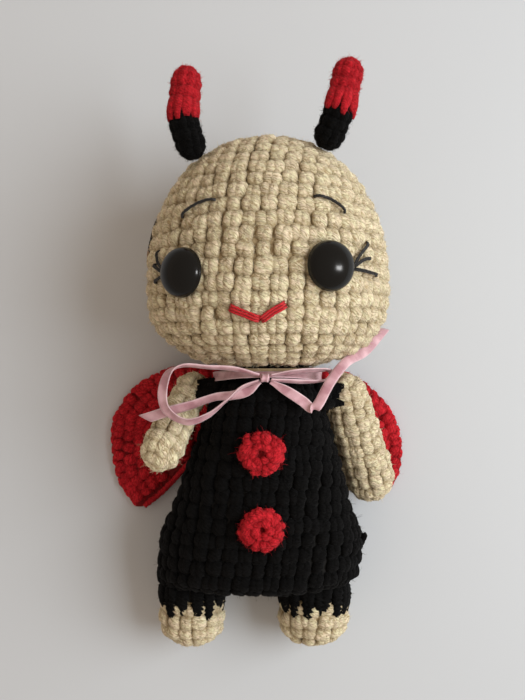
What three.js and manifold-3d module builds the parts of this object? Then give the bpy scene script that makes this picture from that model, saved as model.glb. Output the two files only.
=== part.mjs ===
// A crocheted ladybug doll, lying on its back with its face up.
// Sizes are in millimetres. +Z points out of the doll's front, +Y to the top of its head, +X to the
// right as the face is seen, and "left" and "right" below are as the face is seen. The doll lies on
// Z = 0, and until the last lines Y = 0 is a little above the chin.
import * as THREE from "three";
import { mergeVertices } from "three/addons/utils/BufferGeometryUtils.js";
import Module from "manifold-3d";

const wasm = await Module();
wasm.setup();

// Clearances and cloth
const gap = 0.3; // between pieces that lie against each other
const rest_flat = 0.5; // how deep the round back is pressed flat where it lies
const fabric = 1.8; // crocheted cloth of the head and body
const limb_fabric = 1.3; // crocheted cloth of the arms and antennae

// Head: a bun shape turned about an axis along Y
const head_width = 63.8;
const head_depth = 62;
const head_axis_x = 1.4;
const head_widest_y = 16;
const head_above = 39.8; // from the widest round to the top
const head_below = 20.8; // from the widest round to the chin
const head_fullness_above = 2.15; // 2 is an ellipse, more is squarer
const head_fullness_below = 2.5;
const head_turn = -6.3; // degrees that the face looks to the left
const head_roll = 2; // degrees that the face leans, its right side up
const head_axis_z = head_depth / 2 - rest_flat;

// Neck: the body's round neck sits in a drawn-in socket under the head
const neck_y = -7.5;
const neck_radius = 11.2;
const neck_opening = 7.5; // radius of the openings that join the stuffings
const seam_thread = 0.9; // thread that sews the head on

// Body: an A-line tube of oval rounds that ends in two short legs
const shoulder_y = -13.3;
const shoulder_rise = 5;
const shoulder_width = 30;
const shoulder_depth = 26;
const hip_y = -61;
const hip_width = 56;
const hip_depth = 36;
const hip_shift = -2.2; // how far the hips lie to the left of the neck
const crotch_drop = 5; // from the widest round of the hips to the crotch
const body_fullness = 4; // of the rounded edge under the hips

// Legs and feet
const leg_spacing = 34.4;
const leg_shift = -1.9; // how far both legs lie to the left of the hips
const sway_y = -52; // below this height the hips swing over to the legs
const leg_width_left = 18.4;
const leg_width_right = 20.2;
const leg_depth = 18.4;
const leg_top_y = -60;
const foot_end_y = -84;
const foot_axis_z = 11.5;
const ankle_y = -69.4; // where the black legs change to cream feet
const foot_fullness = 2.5;

// Arms: tubes that swell to the hand
const arm_thickness_left = 9.6;
const arm_thickness_right = 11;
const hand_thickness_left = 9.6;
const hand_thickness_right = 12.8;
const arm_length_left = 29.6;
const arm_length_right = 41.5;
const arm_seat_y_left = -12.2;
const arm_seat_y_right = -14;
const arm_azimuth_left = 99; // degrees round the body from its front to each arm's seat
const arm_azimuth_right = 101;
const arm_swing_left = [-0.35, -0.77, 0.53]; // direction from shoulder to hand
const arm_swing_right = [0.29, -0.84, -0.45];
const arm_seam_radius = 3.2;
const arm_seam_thread = 0.5;

// Faces round the larger forms, outside and on the hidden inside
const head_facets = 36;
const lining_facets = 22;
const body_facets = 28;
const body_lining_facets = 20;
const leg_facets = 16;

// Antennae: tubes that bend up from the head
const antenna_thickness = 8.2;
const antenna_length = 24;
const antenna_tip_length = 11; // the red end
const antenna_y_left = 48.3;
const antenna_y_right = 50.3;
const antenna_azimuth_left = -58; // degrees round the head from its front
const antenna_azimuth_right = 50;
const antenna_lean_left = 0.08; // sideways run of the tip for each mm along Y
const antenna_lean_right = 0.24;

// Wings: flat leaves sewn to the upper back along a straight seam
const wing_thickness = 3.4;
const wing_clearance = 0.5; // above the floor
const wing_seam_x = 7;
const wing_seam_top_y = -11.6;
const wing_seam_length = 11;

// Face
const eye_diameter = 12;
const eye_height = 4.4;
const eye_y = 18.9;
const eye_spread = 32.5; // degrees from the middle of the face to each eye
const shank_diameter = 4;
const shank_length = 8;
const washer_diameter = 11;
const washer_thickness = 1.4;
const face_thread = 0.9;
const mouth_thread = 1.5;

// Buttons
const button_diameter = 12.6;
const button_rise = 2.6;
const button_dimple = 0.9;
const button_y_upper = -25.8;
const button_y_lower = -45.6;

// Ribbon
const ribbon_width = 3.2;
const ribbon_thickness = 0.4;
const knot_size = [4.6, 3.6, 2.8];
const yarn_knot_diameter = 3.4;

const up = new THREE.Vector3(0, 0, 1);
const along = new THREE.Vector3(0, 1, 0);
const radians = THREE.MathUtils.degToRad;
const vec = (x, y, z) => new THREE.Vector3(x, y, z);

// Solids

function solidOf(geometry) {
  const bare = geometry.clone();
  bare.deleteAttribute("normal");
  bare.deleteAttribute("uv");
  const merged = mergeVertices(bare, 1e-4);
  const vertProperties = merged.attributes.position.array;
  const triVerts = new Uint32Array(merged.index.array);
  return new wasm.Manifold(new wasm.Mesh({ numProp: 3, vertProperties, triVerts }));
}

function geometryOf(solid) {
  const { vertProperties, triVerts } = solid.getMesh();
  const geometry = new THREE.BufferGeometry();
  geometry.setAttribute("position", new THREE.BufferAttribute(vertProperties, 3));
  geometry.setIndex(new THREE.BufferAttribute(triVerts, 1));
  geometry.computeVertexNormals();
  return geometry;
}

// Joins rings of as many points each into one closed surface, in order along the piece.
// The rings turn anticlockwise when seen from the last ring. A closed run has no end caps.
function skin(rings, closed = false) {
  const around = rings[0].length;
  const points = rings.flat();
  const faces = [];
  const spans = closed ? rings.length : rings.length - 1;
  for (let i = 0; i < spans; i += 1) {
    const low = i * around;
    const high = ((i + 1) % rings.length) * around;
    for (let k = 0; k < around; k += 1) {
      const next = (k + 1) % around;
      faces.push(low + k, low + next, high + next);
      faces.push(low + k, high + next, high + k);
    }
  }
  if (!closed) {
    const last = (rings.length - 1) * around;
    for (const [first, turn] of [[0, -1], [last, 1]]) {
      const centre = vec(0, 0, 0);
      for (let k = 0; k < around; k += 1) centre.addScaledVector(points[first + k], 1 / around);
      points.push(centre);
      for (let k = 0; k < around; k += 1) {
        const next = (k + 1) % around;
        const edge = turn > 0 ? [first + k, first + next] : [first + next, first + k];
        faces.push(...edge, points.length - 1);
      }
    }
  }
  const geometry = new THREE.BufferGeometry().setFromPoints(points);
  geometry.setIndex(faces);
  return geometry;
}

function ball(centre, radius, around = 20) {
  const geometry = new THREE.SphereGeometry(radius, around, around / 2);
  return solidOf(geometry.translate(centre.x, centre.y, centre.z));
}

function rod(from, to, radius, around = 16) {
  const length = from.distanceTo(to);
  const geometry = new THREE.CylinderGeometry(radius, radius, length, around);
  const turn = new THREE.Quaternion().setFromUnitVectors(along, to.clone().sub(from).normalize());
  const middle = from.clone().add(to).multiplyScalar(0.5);
  return solidOf(geometry.applyQuaternion(turn).translate(middle.x, middle.y, middle.z));
}

// A block whose one face holds the point and faces against the direction.
function halfSpace(point, direction) {
  const side = 4 * head_width;
  const geometry = new THREE.BoxGeometry(side, side, side).translate(0, 0, side / 2);
  const turn = new THREE.Quaternion().setFromUnitVectors(up, direction.clone().normalize());
  return solidOf(geometry.applyQuaternion(turn).translate(point.x, point.y, point.z));
}

const floorBlock = halfSpace(vec(0, 0, 0), vec(0, 0, -1));

// Head

const neckCentre = vec(head_axis_x, neck_y, head_axis_z);

// Half width of the head at a height along its axis, with the surface moved in by inset.
function headHalf(y, inset = 0) {
  const above = y > head_widest_y;
  const reach = (above ? head_above : head_below) - inset;
  const fullness = above ? head_fullness_above : head_fullness_below;
  const share = Math.min(Math.abs(y - head_widest_y) / reach, 1);
  return (head_width / 2 - inset) * (1 - share ** fullness) ** (1 / fullness);
}

function headForm(inset, around, steps) {
  const profile = [];
  for (let i = 0; i <= steps; i += 1) {
    const angle = radians(-90 + (180 * i) / steps);
    const above = angle > 0;
    const power = 2 / (above ? head_fullness_above : head_fullness_below);
    const reach = (above ? head_above : head_below) - inset;
    const y = head_widest_y + Math.sign(angle) * reach * Math.abs(Math.sin(angle)) ** power;
    const end = i === 0 || i === steps;
    const r = end ? 0 : (head_width / 2 - inset) * Math.cos(angle) ** power;
    profile.push(new THREE.Vector2(r, y));
  }
  const geometry = new THREE.LatheGeometry(profile, around);
  const squeeze = (head_depth / 2 - inset) / (head_width / 2 - inset);
  return solidOf(geometry.scale(1, 1, squeeze).translate(head_axis_x, 0, head_axis_z));
}

// A point on the head's outer surface at an angle round from the front, raised off it by lift.
function onHead(azimuth, y, lift = 0) {
  const place = (angle, height) => {
    const r = headHalf(height);
    const depth = head_depth / head_width;
    return vec(head_axis_x + r * Math.sin(angle), height, head_axis_z + r * depth * Math.cos(angle));
  };
  const angle = radians(azimuth);
  const step = 0.01;
  const across = place(angle + step, y).sub(place(angle - step, y));
  const upward = place(angle, y + step).sub(place(angle, y - step));
  const normal = across.cross(upward).normalize();
  return { point: place(angle, y).addScaledVector(normal, lift), normal };
}

// Heights on the face lean with the head's roll.
function onFace(azimuth, y, lift = 0) {
  const sideways = (head_width / 2) * Math.sin(radians(azimuth));
  return onHead(azimuth + head_turn, y + sideways * Math.tan(radians(head_roll)), lift);
}

function headCover() {
  const socket = ball(neckCentre, neck_radius + gap);
  const lining = ball(neckCentre, neck_radius + gap + fabric);
  const opening = rod(neckCentre, vec(head_axis_x, head_widest_y, head_axis_z), neck_opening, 24);
  let cover = headForm(0, head_facets, head_facets / 2).subtract(socket);
  const hollow = headForm(fabric, lining_facets, lining_facets / 2).subtract(lining);
  cover = cover.subtract(hollow).subtract(opening);
  for (const eye of eyes) {
    const inside = eye.point.clone().addScaledVector(eye.normal, -shank_length - eye_height);
    cover = cover.subtract(rod(inside, eye.point.clone().add(eye.normal), shank_diameter / 2 + gap));
  }
  return geometryOf(cover.subtract(floorBlock));
}

function headStuffing() {
  const lining = ball(neckCentre, neck_radius + 2 * gap + fabric);
  let stuffing = headForm(fabric + gap, lining_facets, lining_facets / 2).subtract(lining);
  for (const eye of eyes) {
    const deep = eye.point.clone().addScaledVector(eye.normal, -shank_length - gap - 1);
    stuffing = stuffing.subtract(rod(deep, eye.point, washer_diameter / 2 + gap, 20));
  }
  return geometryOf(stuffing.subtract(halfSpace(vec(0, 0, fabric + gap), vec(0, 0, -1))));
}

// Eyes: a domed plastic button on a shank, held by a washer inside the cover

const eyes = [
  { side: "left", ...onFace(-eye_spread, eye_y, gap) },
  { side: "right", ...onFace(eye_spread, eye_y, gap) },
];

function standOn(geometry, place) {
  const turn = new THREE.Quaternion().setFromUnitVectors(along, place.normal);
  geometry.applyQuaternion(turn).translate(place.point.x, place.point.y, place.point.z);
  return geometry;
}

function eyeGeometry(place) {
  const rim = 0.7;
  const shank = shank_diameter / 2;
  const profile = [new THREE.Vector2(0, -shank_length), new THREE.Vector2(shank, -shank_length)];
  profile.push(new THREE.Vector2(shank, 0), new THREE.Vector2(eye_diameter / 2, 0));
  const steps = 5;
  for (let i = 0; i < steps; i += 1) {
    const angle = radians((90 * i) / steps);
    const y = rim + (eye_height - rim) * Math.sin(angle);
    profile.push(new THREE.Vector2((eye_diameter / 2) * Math.cos(angle), y));
  }
  profile.push(new THREE.Vector2(0, eye_height));
  return standOn(new THREE.LatheGeometry(profile, 20), place);
}

// The washer is pushed up the shank until its rim meets the cover's hollow inner face.
function washerGeometry(place) {
  const outer = washer_diameter / 2;
  const hollow = head_width / 2 - Math.sqrt((head_width / 2) ** 2 - outer ** 2);
  const top = -gap - fabric - hollow - 3 * gap;
  const bore = shank_diameter / 2 + gap;
  const corners = [[bore, top - washer_thickness], [outer, top - washer_thickness]];
  corners.push([outer, top], [bore, top], [bore, top - washer_thickness]);
  const profile = corners.map(([r, y]) => new THREE.Vector2(r, y));
  return standOn(new THREE.LatheGeometry(profile, 16), place);
}

// Tubes: a limb or thread along a curve, with round ends

// Rings square to the curve, each with its place in mm along it and its radius.
function tubeRings(curve, places, around) {
  const length = curve.getLength();
  let normal = null;
  return places.map(({ at, radius }) => {
    const share = THREE.MathUtils.clamp(at / length, 0, 1);
    const tangent = curve.getTangentAt(share);
    if (!normal) normal = Math.abs(tangent.z) < 0.9 ? up.clone() : along.clone();
    normal = normal.clone().addScaledVector(tangent, -normal.dot(tangent)).normalize();
    const side = tangent.clone().cross(normal);
    const centre = curve.getPointAt(share);
    const ring = [];
    for (let k = 0; k < around; k += 1) {
      const angle = (2 * Math.PI * k) / around;
      const point = centre.clone().addScaledVector(normal, radius * Math.cos(angle));
      ring.push(point.addScaledVector(side, radius * Math.sin(angle)));
    }
    return ring;
  });
}

// A tube with round ends whose radius runs evenly from one end to the other.
function limb(curve, startRadius, endRadius, inset, around, steps, dome = 4) {
  const length = curve.getLength();
  const places = [];
  const near = 0.06; // radians off the pole, so that the first ring has a size
  for (let i = 0; i <= dome; i += 1) {
    const angle = near + ((Math.PI / 2 - near) * i) / dome;
    const radius = startRadius - inset;
    places.push({ at: startRadius - radius * Math.cos(angle), radius: radius * Math.sin(angle) });
  }
  for (let i = 1; i < steps; i += 1) {
    const share = i / steps;
    const at = startRadius + (length - startRadius - endRadius) * share;
    places.push({ at, radius: startRadius + (endRadius - startRadius) * share - inset });
  }
  for (let i = dome; i >= 0; i -= 1) {
    const angle = near + ((Math.PI / 2 - near) * i) / dome;
    const radius = endRadius - inset;
    const at = length - endRadius + radius * Math.cos(angle);
    places.push({ at, radius: radius * Math.sin(angle) });
  }
  return skin(tubeRings(curve, places, around));
}

// A thread over the face, from [degrees, height] places measured from the middle of the face.
function faceThread(places, thickness) {
  const line = new THREE.CatmullRomCurve3(places.map(([azimuth, y]) => vec(azimuth, y, 0)));
  const lift = thickness / 2 + gap;
  const points = line.getPoints(6).map(({ x, y }) => onFace(x, y, lift).point);
  const curve = new THREE.CatmullRomCurve3(points);
  return limb(curve, thickness / 2, thickness / 2, 0, 6, 5, 2);
}

const brows = {
  left: [[-38.2, 32.7], [-30, 34.9], [-19.9, 35.9]],
  right: [[28.7, 35.7], [37, 34.6], [44.8, 32.1]],
};
const lips = {
  left: [[-10.2, 10.1], [-3.8, 8.7], [1.8, 7.7]],
  right: [[13.2, 10.3], [7.7, 8.8], [4.4, 7.7]],
};
const lashes = {
  left: [
    [[-45.6, 21.4], [-53, 25]],
    [[-45.9, 19.5], [-55.7, 22.5]],
    [[-45.7, 17.6], [-54, 18]],
  ],
  right: [
    [[45.5, 20.4], [48.6, 22.1], [57.4, 25.4]],
    [[46, 18.8], [51, 20.3], [57.3, 21.6]],
    [[45.8, 17.1], [63.1, 18]],
  ],
};

// Body

// The oval round of the body at a height, with the surface moved in by inset.
function bodyRound(y, inset = 0) {
  const share = THREE.MathUtils.clamp((shoulder_y - y) / (shoulder_y - hip_y), 0, 1);
  const spread = (share + Math.sin((share * Math.PI) / 2)) / 2;
  let halfWidth = (shoulder_width + (hip_width - shoulder_width) * spread) / 2;
  let halfDepth = (shoulder_depth + (hip_depth - shoulder_depth) * spread) / 2;
  if (y > shoulder_y) {
    const rise = Math.min((y - shoulder_y) / (shoulder_rise - inset), 1);
    const kept = Math.sqrt(1 - rise ** 2);
    halfWidth = neck_radius + (halfWidth - neck_radius) * kept;
    halfDepth = neck_radius + (halfDepth - neck_radius) * kept;
  }
  if (y < hip_y) {
    const drop = Math.min((hip_y - y) / (crotch_drop - inset), 1);
    const kept = (1 - drop ** body_fullness) ** (1 / body_fullness);
    halfWidth *= kept;
    halfDepth *= kept;
  }
  const slope = (neck_y - y) / (neck_y - hip_y);
  const sway = THREE.MathUtils.clamp((sway_y - y) / (sway_y - hip_y + crotch_drop), 0, 1);
  const hipAxisZ = hip_depth / 2 - rest_flat;
  return {
    x: head_axis_x + hip_shift * slope + leg_shift * sway,
    z: head_axis_z + (hipAxisZ - head_axis_z) * Math.min(slope, 1),
    a: Math.max(halfWidth - inset, 0.2),
    b: Math.max(halfDepth - inset, 0.2),
  };
}

function ovalRing({ x, z, a, b }, y, around) {
  const ring = [];
  for (let k = 0; k < around; k += 1) {
    const angle = (2 * Math.PI * k) / around;
    ring.push(vec(x + a * Math.sin(angle), y, z + b * Math.cos(angle)));
  }
  return ring;
}

function trunkForm(inset, around) {
  const heights = [];
  const bottom = hip_y - crotch_drop + inset;
  const top = shoulder_y + shoulder_rise - inset;
  const curved = 5;
  for (let i = 0; i <= curved; i += 1) {
    heights.push(hip_y + (bottom - hip_y) * Math.cos((Math.PI / 2) * (i / curved)) ** 0.8);
  }
  const straight = 6;
  for (let i = 1; i < straight; i += 1) heights.push(hip_y + ((shoulder_y - hip_y) * i) / straight);
  for (let i = 0; i <= curved; i += 1) {
    heights.push(shoulder_y + (top - shoulder_y) * Math.sin((Math.PI / 2) * (i / curved)));
  }
  return solidOf(skin(heights.map((y) => ovalRing(bodyRound(y, inset), y, around))));
}

function legAxis(side) {
  const x = head_axis_x + hip_shift + leg_shift + (side * leg_spacing) / 2;
  const width = side > 0 ? leg_width_right : leg_width_left;
  return { top: vec(x, leg_top_y, bodyRound(hip_y).z), end: vec(x, foot_end_y, foot_axis_z), width };
}

function legForm(side, inset, around) {
  const { top, end, width } = legAxis(side);
  const steps = 6;
  const round = width * 0.42; // length of the foot's rounded end
  const rings = [];
  const push = (y, kept) => {
    const share = (top.y - y) / (top.y - end.y);
    const z = top.z + (end.z - top.z) * share;
    const a = Math.max((width / 2 - inset) * kept, 0.2);
    const b = Math.max((leg_depth / 2 - inset) * kept, 0.2);
    rings.push(ovalRing({ x: top.x, z, a, b }, y, around));
  };
  for (let i = 0; i <= steps; i += 1) {
    const angle = (Math.PI / 2) * (i / steps);
    push(end.y + inset + (round - inset) * (1 - Math.cos(angle)), Math.sin(angle) ** (2 / foot_fullness));
  }
  push(ankle_y, 1);
  push(top.y, 1);
  return solidOf(skin(rings));
}

function bodyForm(inset, around) {
  let form = trunkForm(inset, around).add(ball(neckCentre, neck_radius - inset));
  for (const side of [-1, 1]) form = form.add(legForm(side, inset, leg_facets));
  return form;
}

const aboveAnkle = halfSpace(vec(0, ankle_y + gap / 2, 0), along);
const belowAnkle = halfSpace(vec(0, ankle_y - gap / 2, 0), along.clone().negate());

function bodyCover() {
  const top = vec(head_axis_x, neck_y + neck_radius + 1, head_axis_z);
  const opening = rod(neckCentre, top, neck_opening, 24);
  const hollow = bodyForm(fabric, body_lining_facets);
  const cover = bodyForm(0, body_facets).subtract(hollow).subtract(opening);
  return geometryOf(cover.intersect(aboveAnkle).subtract(floorBlock));
}

function bodyStuffing() {
  const floor = halfSpace(vec(0, 0, fabric + gap), vec(0, 0, -1));
  return geometryOf(bodyForm(fabric + gap, body_lining_facets).subtract(floor));
}

function footCover(side) {
  const cover = legForm(side, 0, leg_facets).subtract(legForm(side, fabric, leg_facets));
  return geometryOf(cover.intersect(belowAnkle));
}

// A point on the body's outer surface at an angle round from the front.
function onBody(azimuth, y) {
  const place = (angle, height) => {
    const { x, z, a, b } = bodyRound(height);
    return vec(x + a * Math.sin(angle), height, z + b * Math.cos(angle));
  };
  const angle = radians(azimuth);
  const step = 0.01;
  const across = place(angle + step, y).sub(place(angle - step, y));
  const upward = place(angle, y + step).sub(place(angle, y - step));
  return { point: place(angle, y), normal: across.cross(upward).normalize() };
}

// A domed disc with a small dimple, curved underneath to lie on the body.
function buttonGeometry(y) {
  const reach = 1.8; // how far the skirt hangs before it is trimmed to the body
  const half = button_diameter / 2;
  const profile = [new THREE.Vector2(0, -reach), new THREE.Vector2(half - 0.6, -reach)];
  const steps = 6;
  for (let i = 0; i < steps; i += 1) {
    const angle = radians((90 * i) / steps);
    const r = half * Math.cos(angle);
    const dimple = button_dimple * Math.exp(-((r / (half * 0.2)) ** 2));
    profile.push(new THREE.Vector2(r, 0.4 + (button_rise - 0.4) * Math.sin(angle) - dimple));
  }
  profile.push(new THREE.Vector2(0, button_rise - button_dimple));
  const disc = solidOf(standOn(new THREE.LatheGeometry(profile, 20), onBody(0, y)));
  return geometryOf(disc.subtract(trunkForm(-gap, body_facets)));
}

// Arms

// An arm's round end lies on its seam at the body's side, and the arm turns about its middle.
function shoulder(side) {
  const right = side > 0;
  const thickness = right ? arm_thickness_right : arm_thickness_left;
  const azimuth = right ? arm_azimuth_right : arm_azimuth_left;
  const { point, normal } = onBody(side * azimuth, right ? arm_seat_y_right : arm_seat_y_left);
  const reach = arm_seam_thread + 2 * gap;
  return { centre: point.addScaledVector(normal, thickness / 2 + reach), normal, thickness };
}

function armGeometries(side) {
  const right = side > 0;
  const { centre, thickness } = shoulder(side);
  const hand = right ? hand_thickness_right : hand_thickness_left;
  const length = right ? arm_length_right : arm_length_left;
  const swing = vec(...(right ? arm_swing_right : arm_swing_left)).normalize();
  const start = centre.clone().addScaledVector(swing, -thickness / 2);
  const curve = new THREE.LineCurve3(start, start.clone().addScaledVector(swing, length));
  const form = (inset) => solidOf(limb(curve, thickness / 2, hand / 2, inset, 14, 3, 3));
  // The arm's sewn end is open along the shoulder, where the stuffing shows.
  const towardBody = shoulder(side).normal.clone().negate();
  const mouth = rod(centre, centre.clone().addScaledVector(towardBody, thickness), 2, 12);
  return {
    cover: geometryOf(form(0).subtract(form(limb_fabric)).subtract(mouth)),
    stuffing: geometryOf(form(limb_fabric + gap)),
  };
}

// A thread ring between a sewn-on piece and what carries it.
function seamRing(centre, normal, radius, thickness, around = 28) {
  const torus = new THREE.TorusGeometry(radius, thickness / 2, 6, around);
  const turn = new THREE.Quaternion().setFromUnitVectors(up, normal);
  return torus.applyQuaternion(turn).translate(centre.x, centre.y, centre.z);
}

function armSeam(side) {
  const { centre, normal, thickness } = shoulder(side);
  const middle = centre.clone().addScaledVector(normal, -(thickness + arm_seam_thread) / 2 - gap);
  return seamRing(middle, normal, arm_seam_radius, arm_seam_thread, 16);
}

function neckSeam() {
  const reach = neck_radius + gap + seam_thread / 2 + gap;
  const height = 2.5; // above the middle of the neck
  const middle = neckCentre.clone().addScaledVector(along, height);
  return seamRing(middle, along, Math.sqrt(reach ** 2 - height ** 2), seam_thread, 28);
}

// Antennae

function antennaSeat(side) {
  const right = side > 0;
  const azimuth = right ? antenna_azimuth_right : antenna_azimuth_left;
  const y = right ? antenna_y_right : antenna_y_left;
  const { point, normal } = onHead(azimuth, y);
  return { centre: point.addScaledVector(normal, antenna_thickness / 2 + gap), normal };
}

function antennaCurve(side) {
  const { centre, normal } = antennaSeat(side);
  const lean = side > 0 ? antenna_lean_right : antenna_lean_left;
  const radius = antenna_thickness / 2;
  const rising = vec(lean, 1, 0).normalize();
  const leaving = normal.clone().add(rising).normalize();
  const start = centre.clone().addScaledVector(leaving, -radius);
  const third = (antenna_length - radius) / 3;
  const bend = centre.clone().addScaledVector(leaving, third);
  const upper = bend.clone().addScaledVector(rising, third);
  const tip = upper.clone().addScaledVector(rising, third);
  return new THREE.CatmullRomCurve3([start, centre, bend, upper, tip]);
}

function antennaGeometries(side) {
  const curve = antennaCurve(side);
  const radius = antenna_thickness / 2;
  const form = (inset) => solidOf(limb(curve, radius, radius, inset, 12, 5, 3));
  const share = 1 - antenna_tip_length / curve.getLength();
  const change = curve.getPointAt(share);
  const direction = curve.getTangentAt(share);
  const beyond = halfSpace(change.clone().addScaledVector(direction, gap / 2), direction);
  const before = halfSpace(change.clone().addScaledVector(direction, -gap / 2), direction.clone().negate());
  const shell = form(0).subtract(form(limb_fabric));
  return {
    stem: geometryOf(shell.intersect(before)),
    tip: geometryOf(shell.intersect(beyond)),
    stuffing: geometryOf(form(limb_fabric + gap)),
  };
}

// Wings

// The seam runs along the back of the body, half a wing's thickness below it.
function wingSeam(side) {
  const back = (share) => {
    const y = wing_seam_top_y - wing_seam_length * share;
    const { x, z, a, b } = bodyRound(y);
    const height = z - b * Math.sqrt(1 - (wing_seam_x / a) ** 2);
    return vec(x + side * wing_seam_x, y, height);
  };
  const top = back(0);
  const bottom = back(1);
  const swell = Math.max(...[0.25, 0.5, 0.75].map((t) => top.z + (bottom.z - top.z) * t - back(t).z));
  const drop = wing_thickness / 2 + gap + Math.max(swell, 0);
  return { top: top.setZ(top.z - drop), bottom: bottom.setZ(bottom.z - drop) };
}

const wings = {
  left: {
    outer: [
      [-11, -5.6], [-24, -4.4], [-36, -9.4], [-43.6, -18.5], [-45, -29], [-42.6, -39.5], [-37.6, -46.4],
    ],
    inner: [
      [-6, -16], [-11.5, -22], [-16.5, -27.5], [-21, -32.5], [-25.5, -37.5], [-30.3, -42.4], [-35.4, -46.4],
    ],
  },
  right: {
    outer: [[13, -5.8], [24, -6.4], [33, -11.8], [39.4, -20], [41.4, -28.6], [40.8, -36], [37.6, -42]],
    inner: [[8, -16], [13.5, -21.6], [18.5, -26.4], [23, -30.8], [27.4, -35], [31, -38.6], [35, -41.8]],
  },
};

// Height of the wing's middle surface: it falls from the seam to the cloth that the doll lies on.
function wingLie(side, x, y) {
  const { top, bottom } = wingSeam(side);
  const share = THREE.MathUtils.clamp((top.y - y) / (top.y - bottom.y), 0, 1);
  const seamZ = top.z + (bottom.z - top.z) * share;
  const seamX = top.x + (bottom.x - top.x) * share;
  const away = Math.hypot(Math.max(side * (x - seamX), 0), Math.max(bottom.y - y, 0));
  const fall = THREE.MathUtils.smoothstep(away, 0, 31);
  const low = wing_thickness / 2 + wing_clearance;
  return seamZ + (low - seamZ) * fall;
}

function wingGeometry(side) {
  const { outer, inner } = wings[side > 0 ? "right" : "left"];
  const seam = wingSeam(side);
  const edge = (points) => new THREE.CatmullRomCurve3(points.map(([x, y]) => vec(x, y, 0)));
  const outerEdge = edge(outer);
  const innerEdge = edge([[seam.top.x, seam.top.y], [seam.bottom.x, seam.bottom.y], ...inner.slice(1)]);
  const along_steps = 12;
  const across_steps = 6;
  const rings = [];
  for (let i = 0; i <= along_steps; i += 1) {
    const from = innerEdge.getPointAt(i / along_steps);
    const to = outerEdge.getPointAt(i / along_steps);
    const upper = [];
    const lower = [];
    for (let k = 0; k <= across_steps; k += 1) {
      const share = (1 - Math.cos((Math.PI * (k + 0.35)) / (across_steps + 0.7))) / 2;
      const { x, y } = from.clone().lerp(to, share);
      const half = (wing_thickness / 2) * (1 - Math.abs(2 * share - 1) ** 8) ** 0.5;
      const z = wingLie(side, x, y);
      upper.push(vec(x, y, z + half));
      lower.push(vec(x, y, z - half));
    }
    const ring = [...upper, ...lower.reverse()];
    rings.push(side < 0 ? ring : ring.reverse());
  }
  return skin(rings);
}

// Ribbon

// A flat strap along a curve. Each place of the path gives its point and its width direction.
function strap(places, steps, closed = false) {
  const path = new THREE.CatmullRomCurve3(places.map(({ at }) => vec(...at)), closed);
  const rings = [];
  const count = closed ? steps : steps + 1;
  for (let i = 0; i < count; i += 1) {
    const share = i / steps;
    const centre = path.getPoint(share);
    const tangent = path.getTangent(share);
    const spot = share * (closed ? places.length : places.length - 1);
    const first = Math.floor(spot) % places.length;
    const second = closed ? (first + 1) % places.length : Math.min(first + 1, places.length - 1);
    const wide = vec(...places[first].wide).normalize();
    wide.lerp(vec(...places[second].wide).normalize(), spot - Math.floor(spot));
    wide.addScaledVector(tangent, -wide.dot(tangent)).normalize();
    const thin = tangent.clone().cross(wide);
    const corner = (w, t) => {
      const edge = centre.clone().addScaledVector(wide, (w * ribbon_width) / 2);
      return edge.addScaledVector(thin, (t * ribbon_thickness) / 2);
    };
    rings.push([corner(1, 1), corner(-1, 1), corner(-1, -1), corner(1, -1)]);
  }
  return skin(rings, closed);
}

// The band lies on the shoulders outside the neck's seam, its front a little higher than its back.
const band_radius = neck_radius + 3 * gap + seam_thread + ribbon_thickness;

function neckBand() {
  const places = [];
  const count = 16;
  for (let i = 0; i < count; i += 1) {
    const angle = (2 * Math.PI * i) / count;
    const y = neck_y - 0.1 + 1.0 * Math.cos(angle);
    const lowEdge = bodyRound(y - ribbon_width / 2);
    const lift = 1.5 * gap + ribbon_thickness;
    const x = lowEdge.x + Math.max(lowEdge.a + lift, band_radius) * Math.sin(angle);
    const z = lowEdge.z + Math.max(lowEdge.b + lift, band_radius) * Math.cos(angle);
    places.push({ at: [x, y, z], wide: [0, 1, 0] });
  }
  return strap(places, 32, true);
}

const knotRise = band_radius + ribbon_thickness / 2 + gap + knot_size[2] / 2;
const knotPlace = vec(head_axis_x - 0.8, neck_y - 0.4, head_axis_z + knotRise);

function bowKnot() {
  const geometry = new THREE.SphereGeometry(0.5, 12, 8);
  return geometry.scale(...knot_size).translate(knotPlace.x, knotPlace.y, knotPlace.z);
}

// Loops and tails start beside the knot. Their places are measured from its middle.
function fromKnot(places) {
  return places.map(([x, y, z, ...wide]) => {
    const at = [knotPlace.x + x, knotPlace.y + y, knotPlace.z + z];
    return { at, wide };
  });
}

const loopLeft = [
  [-2.4, 1, 0, 0, 0.4, 1], [-8, 2.2, 0.4, 0, 0.1, 1], [-14, 2.6, 0.8, 0, 0.1, 1], [-20, 3, 1, 0.3, 0.2, 1],
  [-23.8, 1, 0.2, 0.8, 0.1, 0.8], [-25.4, -4, -1, 1, 0.2, 0.4], [-24.2, -8.2, -1, 0.8, 0.4, 0.6],
  [-19.4, -10.8, -0.2, 0, 0.7, 0.8], [-14.2, -9.2, 0.4, 0, 0.6, 0.8], [-9.6, -5.6, 0.6, 0, 0.5, 1],
  [-6, -2.4, 0.4, 0, 0.4, 1], [-2.6, -0.8, 0, 0, 0.4, 1],
];
const loopRight = [
  [2.4, 1, 0, 0, 0.4, 1], [8, 1.7, -1.2, 0, 0.4, 1], [13, 1.9, -3.4, 0, 0.4, 1],
  [16.4, 1.7, -5.8, 0.3, 0.2, 1], [17, 0, -7, 0.5, 0, 1], [14, -1, -5.2, 0.2, 0.2, 1],
  [9, -1.1, -2.6, 0, 0.4, 1], [2.5, -0.8, -0.3, 0, 0.4, 1],
];
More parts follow.
